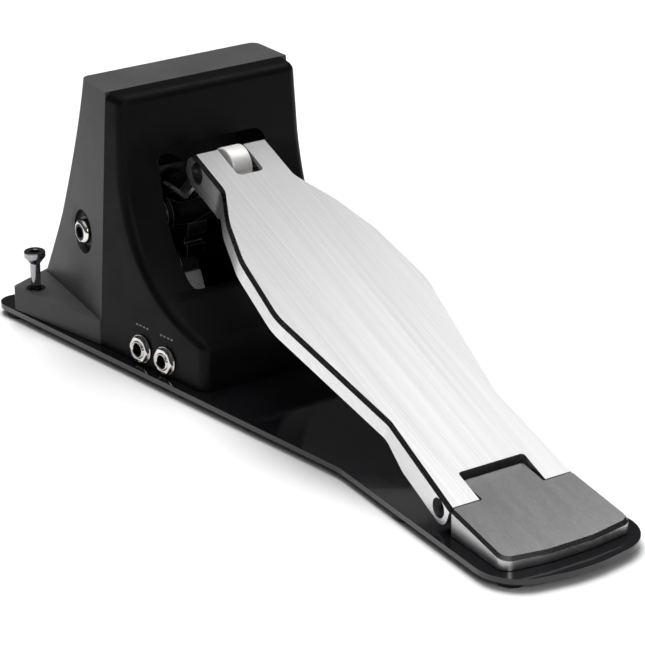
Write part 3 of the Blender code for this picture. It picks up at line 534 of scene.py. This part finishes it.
# ------------------------------------------------------------------ base, feet and heel block
def fine_base():
    outline = rounded(mirrored(PLATE_OUTLINE))
    plate = prism("base_plate_fine", "z", outline, PLATE_BOTTOM, PLATE_TOP)
    holes = []
    for side in (1, -1):
        holes.append(rod("hole", 3.6, (side * ANCHOR[0], ANCHOR[1], 0), (side * ANCHOR[0], ANCHOR[1], 9)))
        holes += [screw_hole(side * x, y, 9.0) for x, y in HOUSING_SCREWS]
    holes += [screw_hole(x, y, 9.0) for x, y in HEEL_SCREWS + COVER_SCREWS + SENSOR_SCREWS]
    fit(cut(plate, *holes), "plate", "base_plate", 0.5, 3)
    for node in [n for n in NODES if n.startswith("rubber_foot_")]:
        low, high = (Vector(corner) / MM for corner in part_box(node))
        middle, radius = (low + high) / 2, (high.x - low.x) / 2
        profile = [(0.0, 0.7), (2.2, 0.7), (2.6, 0.1), (radius - 2.4, 0.0), (radius - 1.9, 0.35),
                   (radius - 1.4, 0.0), (radius - 0.9, 0.05), (radius - 0.25, 0.4), (radius, 1.0),
                   (radius, high.z - 0.5), (radius - 0.4, high.z), (0.0, high.z)]
        fit(turned(node + "_fine", profile, (middle.x, middle.y, 0), (0, 0, 1)), "rubber", node)


def heel_ring(corners, drop):
    top_y, top_z = HEEL_TOP_POINT
    return [(x, y, top_z + HEEL_SLOPE * (y - top_y) - drop) for x, y in rounded(mirrored(corners))]


def fine_heel():
    shoulder = heel_ring(HEEL_SHOULDER, HEEL_CHAMFER)
    block = loft("heel_block_fine", [[(x, y, DECK) for x, y, _ in shoulder], shoulder,
                                     heel_ring(HEEL_TOP, 0.0)])
    # The heel's chamfer band gets the dark finish: painted shade.
    paint_shaded_band(block, "heel", lambda middle, normal: 0.25 < normal.z < 0.9)
    hinge_hole = rod("hole", SHAFT_RADIUS + 0.25, (-30, HINGE.y, HINGE.z), (30, HINGE.y, HINGE.z))
    cut(block, hinge_hole, *[screw_hole(x, y, 13.3) for x, y in HEEL_SCREWS])
    fit(block, "heel", "heel_block", 0.25, 2, 28)
    fit(bar("hinge_shaft_fine", SHAFT_RADIUS, (-31.5, HINGE.y, HINGE.z), (31.5, HINGE.y, HINGE.z)),
        "dark", "hinge_shaft")


def paint_shaded_band(obj, finish, chosen):
    """Give the faces that a test picks the dark chamfer finish, which paints shade on them, and the others
    their own.
    """
    mesh = obj.data
    mesh.materials.append(LOOKS[finish])
    mesh.materials.append(LOOKS["edge"])
    for face in mesh.polygons:
        if chosen(face.center / MM, face.normal):
            face.material_index = 1


# ------------------------------------------------------------------ footboard and roller
def fine_footboard():
    outline = rounded(mirrored(BOARD_OUTLINE), 14)
    width, drop = BOARD_CHAMFER
    wide = grown(outline, width)
    board = loft("footboard_fine", [[(x, y, -14.0) for x, y in wide],
                                    [(x, y, BOARD_TOP - drop) for x, y in wide],
                                    [(x, y, BOARD_TOP) for x, y in outline]])
    # The board's chamfer band gets the dark finish: painted shade.
    paint_shaded_band(board, "board", lambda middle, normal: 0.2 < normal.z < 0.95)
    side = prism("side", "x", rounded(BOARD_SIDE), -60.0, 60.0)
    combine(board, [side], "INTERSECT")
    local = Matrix.Rotation(-BOARD_SLOPE, 3, "X") @ (ROLLER - HINGE)
    u, n = local.y, local.z
    skin = BOARD_TOP - NECK_SKIN
    channel = prism("channel", "x", [(223.0, -30.0), (300.0, -30.0), (300.0, skin), (229.0, skin),
                                     (223.0, -2.0)], -CHEEK_INNER, CHEEK_INNER)
    tip_gap = prism("tip_gap", "z", [(-CHEEK_INNER, 260.2), (CHEEK_INNER, 260.2), (CHEEK_INNER, 300.0),
                                     (-CHEEK_INNER, 300.0)], -30.0, 30.0)
    slot = prism("slot", "z", rounded([(SLOT_HALF, 300.0, 0.0), (-SLOT_HALF, 300.0, 0.0),
                                       (-SLOT_HALF, SLOT_END, 3.0), (SLOT_HALF, SLOT_END, 3.0)]),
                 -30.0, 30.0)
    notch = prism("notch", "z", rounded([(-NOTCH_HALF, -40.0, 0.0), (NOTCH_HALF, -40.0, 0.0),
                                         (NOTCH_HALF, NOTCH_END, 2.0), (-NOTCH_HALF, NOTCH_END, 2.0)]),
                  -30.0, 30.0)
    holes = [rod("hole", BUSH_RADIUS + 0.2, (-60, 0, 0), (60, 0, 0)),
             rod("hole", PIN_RADIUS + 0.25, (-60, u, n), (60, u, n))]
    for x in (-19.4, 19.4):
        holes.append(rod("hole", 6.3, (x, u, n), (x * 2, u, n)))
    cut(board, channel, tip_gap, slot, notch, *holes)
    board.rotation_euler.x = BOARD_SLOPE
    board.location = HINGE * MM
    fit(board, "board", "footboard", 0.35, 2, 28)
    for side_x, name in ((-1, "left"), (1, "right")):
        fit(ring(f"hinge_bush_{name}_fine", SHAFT_RADIUS + 0.15, BUSH_RADIUS,
                 (side_x * 19.9, HINGE.y, HINGE.z), (side_x * 32.0, HINGE.y, HINGE.z)),
            "dark", f"hinge_bush_{name}")
        fit(ring(f"roller_spacer_{name}_fine", PIN_RADIUS + 0.2, 4.6,
                 (side_x * (ROLLER_HALF + GAP), ROLLER.y, ROLLER.z),
                 (side_x * (CHEEK_INNER - GAP), ROLLER.y, ROLLER.z)), "dark", f"roller_spacer_{name}")
    half, seat = 21.9, 19.7
    profile = [(0.0, -half + 1.4), (1.6, -half + 1.4), (2.4, -half + 0.2), (2.7, -half), (5.3, -half),
               (5.8, -half + 0.5), (5.9, -seat), (PIN_RADIUS, -seat)]
    profile += [(radius, -along) for radius, along in reversed(profile)]
    fit(turned("roller_pin_fine", profile, ROLLER, (1, 0, 0)), "dark", "roller_pin")
    edge, wall = 0.9, ROLLER_HALF
    profile = [(PIN_RADIUS + 0.2, -wall + 0.6), (5.4, -wall + 0.6), (5.8, -wall),
               (ROLLER_RADIUS - edge, -wall)]
    profile += [(ROLLER_RADIUS - edge * (1 - math.sin(a)), -wall + edge * (1 - math.cos(a)))
                for a in (math.radians(30 * k) for k in range(1, 4))]
    profile += [(radius, -along) for radius, along in reversed(profile)]
    fit(turned("tip_roller_fine", profile, ROLLER, (1, 0, 0), 120), "roller", "tip_roller")


# ------------------------------------------------------------------ rocker, springs and sensor
def fine_rocker():
    # The rocker's edges, the hammer weight and the yoke bracket get the near-white finish: painted
    # highlights.
    refined("rocker", "dark", 0.8, 35.0, "painted_highlight")
    refined("hammer_weight", "painted_highlight", 0.7)
    refined("beater_pad", "rubber", 0.8)
    refined("yoke_bracket", "painted_highlight", 0.3)
    for side, name in ((-1, "left"), (1, "right")):
        inner, outer = AXLE + Vector((side * 4.5, 0, 0)), AXLE + Vector((side * 9.5, 0, 0))
        race = turned(f"rocker_bearing_{name}_fine",
                      [(5.2, 0.3), (5.5, 0.0), (6.0, 0.0), (6.0, 0.5), (7.1, 0.5), (7.1, 0.0), (7.6, 0.0),
                       (7.9, 0.3), (7.9, 4.7), (7.6, 5.0), (7.1, 5.0), (7.1, 4.5), (6.0, 4.5), (6.0, 5.0),
                       (5.5, 5.0), (5.2, 4.7)], inner, outer - inner)
        fit(race, "steel", f"rocker_bearing_{name}")
    fit(bar("spring_crossbar_fine", CROSSBAR_RADIUS, CROSSBAR - Vector((25, 0, 0)),
            CROSSBAR + Vector((25, 0, 0))), "steel", "spring_crossbar")


def fine_springs():
    turns, per_turn, coil, wire = 10, 24, 3.4, 0.6
    low, high = 20.0, CROSSBAR.z - CROSSBAR_RADIUS - 6.0
    for side, name in ((-1, "left"), (1, "right")):
        x, y = side * SPRING_X, CROSSBAR.y
        points = [(x, y, low - 5.0), (x, y, low - 3.0)]
        for k in range(turns * per_turn + 1):
            angle = 2 * math.pi * k / per_turn
            grow = min(1.0, k / 8, (turns * per_turn - k) / 8)
            height = low + (high - low) * k / (turns * per_turn)
            points.append((x + grow * coil * math.cos(angle), y + grow * coil * math.sin(angle), height))
        hook, reach = CROSSBAR.z, CROSSBAR_RADIUS + wire + 0.15
        points.append((x, y - reach * 0.6, high + 2.0))
        for k in range(11):
            angle = math.radians(215 - 25 * k)
            points.append((x, y + reach * math.cos(angle), hook + reach * math.sin(angle)))
        spring = sweep(f"return_spring_{name}_fine", points, wire, 10)
        spring.data.materials.append(LOOKS["upright"])
        spring.data.shade_smooth()
        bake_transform(spring)
        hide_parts(f"return_spring_{name}")
        top = low - 4.0 - DECK
        profile = [(0.0, 0.0), (4.2, 0.0), (4.5, 0.3), (4.5, 2.2), (4.0, 2.8), (2.5, 3.0),
                   (2.5, top - 3.4), (1.9, top - 3.0), (1.9, top - 1.8), (2.4, top - 1.4),
                   (2.4, top - 0.4), (2.0, top), (0.0, top)]
        fit(turned(f"spring_post_{name}_fine", profile, (x, y, DECK), (0, 0, 1)), "upright",
            f"spring_post_{name}")


def fine_sensor():
    low, high = (Vector(corner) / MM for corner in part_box("sensor_cushion"))
    steps_across, steps_up = 28, 24
    bm = bmesh.new()
    sheets = []
    for face_y, swell in ((low.y, -1), (high.y, 1)):
        sheet = []
        for j in range(steps_up + 1):
            row = []
            for i in range(steps_across + 1):
                a, b = 2 * i / steps_across - 1, 2 * j / steps_up - 1
                pull = 0.35 * (1 - abs(a) ** 2) * (1 - abs(b) ** 2)
                edge = (max(abs(a), abs(b)) ** 10) * 1.3
                x = (low.x + high.x) / 2 + a * (high.x - low.x) / 2 * (1 - 0.012 * (1 - b * b))
                z = (low.z + high.z) / 2 + b * (high.z - low.z) / 2 * (1 - 0.012 * (1 - a * a))
                row.append(bm.verts.new((x, face_y - swell * (0.45 + edge - pull), z)))
            sheet.append(row)
        sheets.append(sheet)
    front, back = sheets
    for sheet in sheets:
        for j in range(steps_up):
            for i in range(steps_across):
                bm.faces.new((sheet[j][i], sheet[j][i + 1], sheet[j + 1][i + 1], sheet[j + 1][i]))
    rim = [(0, i) for i in range(steps_across)] + [(j, steps_across) for j in range(steps_up)]
    rim += [(steps_up, i) for i in range(steps_across, 0, -1)] + [(j, 0) for j in range(steps_up, 0, -1)]
    for (j0, i0), (j1, i1) in zip(rim, rim[1:] + rim[:1]):
        bm.faces.new((front[j0][i0], front[j1][i1], back[j1][i1], back[j0][i0]))
    cushion = make("sensor_cushion_fine", bm)
    cushion = fit(cushion, "foam", "sensor_cushion", 0.0, 2, 60)
    refined("sensor_plate", "brass", 0.25)
    refined("sensor_bracket", "dark", 0.4)
    refined("rest_stop_bracket", "dark", 0.35)
    refined("circuit_board", "green", 0.2)
    low, high = (Vector(corner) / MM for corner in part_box("rest_stop_bumper"))
    length, radius = high.y - low.y, (high.x - low.x) / 2
    profile = [(0.0, 0.0), (radius - 2.0, 0.1), (radius - 0.8, 0.6), (radius - 0.2, 1.6), (radius, 2.6),
               (radius, length - 0.5), (radius - 0.5, length), (0.0, length)]
    fit(turned("rest_stop_bumper_fine", profile, (0, low.y, (low.z + high.z) / 2), (0, 1, 0)), "rubber",
        "rest_stop_bumper")
    repaint("sensor_lead", "rubber")


# ------------------------------------------------------------------ tower
def housing_half_width(y, z, inset=0.0):
    front = WIDTH_AT_SEAM - 0.0512 * (z - PLATE_TOP)
    closing = 0.124 - 0.074 * max(0.0, (z - 62.0) / 87.5)
    return front - closing * (y - SEAM) - inset


def housing_rings(inset, heights, front):
    profile = bezier(HOUSING_REAR, 48)
    rings = []
    for z in heights:
        rear = profile[-1][0]
        for (y0, z0), (y1, z1) in zip(profile, profile[1:]):
            if z1 <= z <= z0:
                rear = y0 + (y1 - y0) * (z0 - z) / (z0 - z1)
        if z > profile[0][1]:
            rear = profile[0][0]
        rear -= inset
        corner = max(1.0, 5.0 - inset)
        half_front, half_rear = housing_half_width(front, z, inset), housing_half_width(rear, z, inset)
        outline = rounded([(half_front, front, 0.0), (half_rear, rear, corner), (-half_rear, rear, corner),
                           (-half_front, front, 0.0)], 6)
        rings.append([(x, y, z) for x, y in outline])
    return rings


def fine_housing():
    rise = [z for _, z in reversed(bezier(HOUSING_REAR, 20))]
    housing = loft("tower_housing_fine", housing_rings(0.0, [DECK] + rise, SEAM))
    cavity = loft("cavity", housing_rings(WALL, [DECK - 5.0] + rise[:-1] + [TOWER_TOP - WALL], SEAM - 5.0))
    ears, bosses, holes = [], [], []
    for side in (1, -1):
        corners = EAR_OUTLINE if side > 0 else flipped(EAR_OUTLINE)
        ears.append(prism("ear", "z", rounded(corners), DECK, EAR_TOP))
        along = (BOSS_END, housing_half_width(AXLE.y, AXLE.z) - 1.5, RECESS_FACE - RECESS_DEPTH,
                 BOSS_END - 2, OUTSIDE)
        inner, wall, face, drilled, outside = (Vector((side * x, AXLE.y, AXLE.z)) for x in along)
        bosses.append(rod("boss", BOSS_RADIUS, inner, wall))
        holes.append(rod("recess", RECESS_RADIUS, face, outside, 64))
        holes.append(rod("bolt_hole", 3.4, drilled, outside))
        x, y = side * ANCHOR[0], ANCHOR[1]
        holes.append(rod("anchor_hole", 5.3, (x, y, 0), (x, y, 30)))
        holes += [screw_hole(side * x, y, 16.3) for x, y in HOUSING_SCREWS]
    cut(housing, cavity)
    join(housing, *ears, *bosses)
    cut(housing, *holes)
    fit(housing, "cast", "tower_housing", 0.9, 3, 40)
    for side, name in ((-1, "left"), (1, "right")):
        x, y = side * ANCHOR[0], ANCHOR[1]
        fit(ring(f"anchor_insert_{name}_fine", 3.3, 5.0, (x, y, DECK + 0.3), (x, y, EAR_TOP - 0.3)), "dark",
            f"anchor_insert_{name}")
        fine_anchor_bolt(name, x, y)
        fine_axle_bolt(name, side)
    end, depth = BOSS_END - GAP, 26.0
    profile = [(0.0, -depth), (3.3, -depth), (3.3, -end), (4.6, -end), (5.0, -end + 0.4),
               (5.0, end - 0.4), (4.6, end), (3.3, end), (3.3, depth), (0.0, depth)]
    fit(turned("main_axle_fine", profile, AXLE, (1, 0, 0)), "steel", "main_axle")


def fine_anchor_bolt(name, x, y):
    """Height-adjusting bolt: pointed tip, threaded foot, smooth neck and a flared head with a socket."""
    profile = [(0.0, 2.0), (0.6, 2.0), (2.4, 5.4)]
    z = 6.0
    while z < 20.0:
        profile += [(2.5, z), (2.9, z + 0.4), (2.9, z + 0.6), (2.5, z + 1.0)]
        z += 1.0
    profile += [(2.8, 20.8), (2.8, 35.4), (3.0, 35.8), (5.5, 39.0), (5.9, 39.7), (5.9, 42.2), (5.5, 42.6),
                (3.1, 42.6), (2.7, 42.2), (2.7, 39.2), (0.0, 39.2)]
    bolt = turned(f"anchor_bolt_{name}_fine", profile, (x, y, 0.0), (0, 0, 1), 96)
    fit(bolt, "bolt", f"anchor_bolt_{name}", 0.0, 2, 30)


def fine_axle_bolt(name, side):
    """Button-head bolt in the recess on the housing's side, with a washer and a hexagonal socket."""
    face = RECESS_FACE - RECESS_DEPTH + GAP
    head = [(0.0, 6.0), (4.6, 6.0), (5.6, 5.7), (6.3, 5.1), (6.8, 4.0), (6.8, 1.8), (6.6, 1.5)]
    washer = [(8.2, 1.5), (8.6, 1.1), (8.6, 0.2), (8.4, 0.0)]
    profile = [(radius, face + out) for radius, out in head + washer]
    profile += [(3.0, face), (3.0, 28.0), (0.0, 28.0)]
    bolt = turned(f"axle_bolt_{name}_fine", profile, (0, AXLE.y, AXLE.z), (side, 0, 0))
    bottom, mouth = (Vector((side * (face + out), AXLE.y, AXLE.z)) for out in (2.6, 8.0))
    cut(bolt, rod("socket", 3.6, bottom, mouth, 6))
    # Faces 5 to 7 mm off the axle, the head's rounded shoulder, take chrome and the rest blackened steel: a
    # painted highlight on one steel bolt.
    bolt.data.materials.append(LOOKS["chrome"])
    bolt.data.materials.append(LOOKS["dark"])
    for polygon in bolt.data.polygons:
        off_axis = (polygon.center / MM - AXLE).yz.length
        polygon.material_index = 1 if off_axis < 5.0 or off_axis > 7.0 else 0
    fit(bolt, "chrome", f"axle_bolt_{name}", 0.15, 2, 35)


# ------------------------------------------------------------------ front cover
def cover_half_width(y, z):
    return WIDTH_AT_SEAM + FLARE * (y - SEAM) - LEAN * (z - PLATE_TOP)


def cover_solid(name, inset, rear, bottom, bevel):
    """The cover's outer or inner shape: a swept front profile between two leaning sides."""
    toe, toe_top = COVER_FRONT[2][0] + inset, COVER_FRONT[2][1] - inset
    curve = [(y + inset * 0.9, z - inset * 0.75) for y, z in bezier(COVER_FRONT, 24)[:-1]]
    outline = [(115.0 + inset, COVER_TOP - inset)] + curve
    outline += [(toe + 0.01, toe_top), (toe, bottom), (rear, bottom), (rear, COVER_TOP - inset)]
    bm = bmesh.new()
    ends = [[bm.verts.new((x, y, z)) for y, z in outline] for x in (-90.0, 90.0)]
    for i in range(len(outline)):
        j = (i + 1) % len(outline)
        bm.faces.new((ends[0][i], ends[0][j], ends[1][j], ends[1][i]))
    bm.faces.new(ends[0][::-1])
    bm.faces.new(ends[1])
    for side in (1, -1):
        normal = Vector((side, -FLARE, LEAN))
        middle = Vector((side * (cover_half_width(80.0, 40.0) - inset * normal.length), 80.0, 40.0))
        geometry = bm.verts[:] + bm.edges[:] + bm.faces[:]
        result = bmesh.ops.bisect_plane(bm, geom=geometry, plane_co=middle, plane_no=normal,
                                        clear_outer=True)
        rim = [e for e in result["geom_cut"] if isinstance(e, bmesh.types.BMEdge)]
        bmesh.ops.contextual_create(bm, geom=rim)
    bmesh.ops.recalc_face_normals(bm, faces=bm.faces)
    if bevel:
        def turns(edge):
            seam = all(abs(v.co.y - rear) < 0.01 for v in edge.verts)
            floor = all(abs(v.co.z - bottom) < 0.01 for v in edge.verts)
            return not seam and not floor and edge.calc_face_angle(0.0) > math.radians(35)
        bmesh.ops.bevel(bm, geom=[e for e in bm.edges if turns(e)], offset=bevel, segments=8, profile=0.5,
                        affect="EDGES")
    return make(name, bm)


def jack_frame(name):
    y, z = JACKS[name]
    return Vector((-cover_half_width(y, z), y, z)), Vector((-1.0, -FLARE, LEAN)).normalized()


def fine_cover():
    cover = cover_solid("front_cover_fine", 0.0, SEAM - GAP, DECK, COVER_ROUND)
    cut(cover, cover_solid("inside", COVER_WALL, SEAM + 5.0, DECK - 5.0, 0.0))
    join(cover, *[rod("post", 5.0, (x, y, DECK), (x, y, 32.6)) for x, y in COVER_SCREWS])
    corners = [(OPENING_HALF, OPENING_LOW, 6.0), (OPENING_HALF, OPENING_HIGH, 8.0),
               (-OPENING_HALF, OPENING_HIGH, 8.0), (-OPENING_HALF, OPENING_LOW, 6.0)]
    opening = prism("opening", "y", rounded(corners), 30.0, 126.0)
    tools = [opening] + [screw_hole(x, y, 22.3) for x, y in COVER_SCREWS]
    for name in JACKS:
        centre, out = jack_frame(name)
        tools.append(rod("jack_hole", JACK_BARREL + GAP, centre - out * 10.0, centre + out * 5.0))
    cut(cover, *tools)
    fit(cover, "plastic", "front_cover", 0.7, 3, 50)


def fine_jacks():
    hex_radius = NUT_ACROSS / math.sqrt(3)
    for name in JACKS:
        centre, out = jack_frame(name)
        inner = COVER_WALL + 3.0
        profile = [(JACK_BORE, -inner), (JACK_BARREL, -inner)]
        along = -inner + 0.4
        while along < 2.9:
            profile += [(JACK_BARREL - 0.3, along), (JACK_BARREL, along + 0.3)]
            along += 0.6
        profile += [(JACK_BARREL - 0.1, 3.3), (JACK_BARREL - 0.5, 3.6), (JACK_BORE + 0.4, 3.6),
                    (JACK_BORE, 3.2)]
        fit(turned(f"{name}_jack_barrel_fine", profile, centre, out), "chrome", f"{name}_jack_barrel",
            0.0, 2, 30)
        nut = turned("nut", [(0.0, 0.9), (hex_radius, 0.9), (hex_radius, 2.8), (0.0, 2.8)], centre, out, 6)
        crown = turned("crown", [(0.0, 0.0), (hex_radius + 1, 0.0), (hex_radius + 1, 1.8),
                                 (hex_radius - 0.8, 2.81), (0.0, 2.81)], centre, out)
        combine(nut, [crown], "INTERSECT")
        washer = turned("washer", [(0.0, 0.3), (7.6, 0.3), (7.9, 0.5), (7.9, 0.8), (7.6, 1.0), (0.0, 1.0)],
                        centre, out)
        join(nut, washer)
        cut(nut, rod("hole", JACK_BARREL + 0.12, centre - out * 2.0, centre + out * 8.0))
        nut.name = f"{name}_jack_nut_fine"
        fit(nut, "chrome", f"{name}_jack_nut", 0.12, 2, 30)
        back = centre - out * (inner + GAP)
        profile = [(0.0, 0.0), (6.0, 0.0), (6.4, 0.4), (6.4, 13.5), (5.6, 14.3), (5.6, 16.4), (5.0, 17.0),
                   (0.0, 17.0)]
        fit(turned(f"{name}_jack_case_fine", profile, back, -out, 32), "plastic", f"{name}_jack_case",
            0.2, 2, 30)
        first = JACKS[name][0] - 1.5 * MARK_PITCH
        marks(f"{name}_jack_mark", [(first + MARK_PITCH * k, MARK_LENGTH) for k in range(4)])


def marks(name, dashes):
    """A row of short printed dashes with round ends on the cover's left side."""
    bm = bmesh.new()
    out = Vector((-1.0, -FLARE, LEAN)).normalized()
    low_edge, high_edge, corner = MARK_HEIGHT - MARK_HALF_WIDTH, MARK_HEIGHT + MARK_HALF_WIDTH, 0.4
    for y, length in dashes:
        rear, front = y - length / 2, y + length / 2
        outline = rounded([(rear, low_edge, corner), (front, low_edge, corner),
                           (front, high_edge, corner), (rear, high_edge, corner)], 4)
        low, high = ([Vector((-cover_half_width(a, b), a, b)) + out * lift for a, b in outline]
                     for lift in (-0.1, 0.06))
        low, high = [bm.verts.new(p) for p in low], [bm.verts.new(p) for p in high]
        for i in range(len(low)):
            j = (i + 1) % len(low)
            bm.faces.new((low[i], low[j], high[j], high[i]))
        bm.faces.new(low[::-1])
        bm.faces.new(high)
    fit(make(name, bm), "ink", [], body="stand")


def fine_screws():
    """Pan heads with a cross recess under the plate, on the CAD screws' shanks."""
    for node in [n for n in NODES if "_screw_" in n]:
        low, high = (Vector(corner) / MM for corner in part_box(node))
        middle, radius = (low + high) / 2, (high.x - low.x) / 2
        profile = [(0.0, 1.6), (radius - 1.4, 1.6), (radius - 0.5, 1.9), (radius, 2.7), (radius, 3.6),
                   (2.0, 3.6)]
        z = 4.2
        while z < high.z - 1.0:
            profile += [(2.0, z), (1.75, z + 0.35)]
            z += 0.7
        profile += [(1.5, high.z - 0.2), (1.2, high.z), (0.0, high.z)]
        screw = turned(node + "_fine", profile, (middle.x, middle.y, 0), (0, 0, 1), 36)
        arms = []
        for a, b, depth in ((2.2, 0.5, 2.9), (0.5, 2.2, 2.91)):
            corners = [(middle.x + i * a, middle.y + j * b, 0.2)
                       for i, j in ((1, 1), (-1, 1), (-1, -1), (1, -1))]
            arms.append(prism("arm", "z", rounded(corners, 2), 0.0, depth))
        fit(cut(screw, *arms), "dark", node, 0.0, 2, 30)


# ------------------------------------------------------------------ stage, lights and camera
def stand_facing(obj, location, target):
    """Put a light or the camera into the scene, looking at the target."""
    obj.location = location
    obj.rotation_euler = (Vector(target) - Vector(location)).to_track_quat("-Z", "Y").to_euler()
    bpy.context.scene.collection.objects.link(obj)


def area(name, location, target, size, power, mirrored_in_gloss):
    data = bpy.data.lights.new(name, "AREA")
    data.shape = "RECTANGLE"
    data.size, data.size_y = size
    data.energy = power
    light = bpy.data.objects.new(name, data)
    light.visible_glossy = mirrored_in_gloss
    stand_facing(light, location, target)


def build_stage():
    bm = bmesh.new()
    bmesh.ops.create_grid(bm, x_segments=1, y_segments=1, size=FLOOR_REACH)
    mesh = bpy.data.meshes.new("floor")
    bm.to_mesh(mesh)
    bm.free()
    floor = bpy.data.objects.new("floor", mesh)
    bpy.context.scene.collection.objects.link(floor)
    mat = look("pale_floor", (0.9, 0.9, 0.9), 0.9, 0.0, {"Specular IOR Level": 0.1})
    mesh.materials.append(mat)
    floor.visible_diffuse = False      # its bounce would light the dark tower from below
    world = bpy.data.worlds.new("studio")
    bpy.context.scene.world = world
    world.use_nodes = True
    tree = world.node_tree
    background = tree.nodes["Background"]
    coords = tree.nodes.new("ShaderNodeTexCoord")
    split = tree.nodes.new("ShaderNodeSeparateXYZ")
    ramp = tree.nodes.new("ShaderNodeValToRGB")
    stops = ramp.color_ramp.elements
    stops[0].position, stops[1].position = SKY[0][0], SKY[-1][0]
    for stop in SKY[1:-1]:
        stops.new(stop[0])
    for stop, (height, grey, blue) in zip(stops, SKY):
        stop.color = (grey, grey, blue, 1.0)
    tree.links.new(coords.outputs["Generated"], split.inputs["Vector"])
    tree.links.new(split.outputs["Z"], ramp.inputs["Fac"])
    tree.links.new(ramp.outputs["Color"], background.inputs["Color"])
    background.inputs["Strength"].default_value = 1.0
    for light in LIGHTS:
        area(*light)


def build_camera():
    data = bpy.data.cameras.new("camera")
    data.lens = CAMERA_LENS
    data.sensor_width = CAMERA_SENSOR
    camera = bpy.data.objects.new("camera", data)
    stand_facing(camera, CAMERA_PLACE, CAMERA_TARGET)
    bpy.context.scene.camera = camera


build_camera()
build_stage()
bpy.context.scene.view_settings.view_transform = "Standard"
fine_base()
fine_heel()
fine_footboard()
fine_rocker()
fine_springs()
fine_sensor()
fine_housing()
fine_cover()
fine_jacks()
fine_screws()
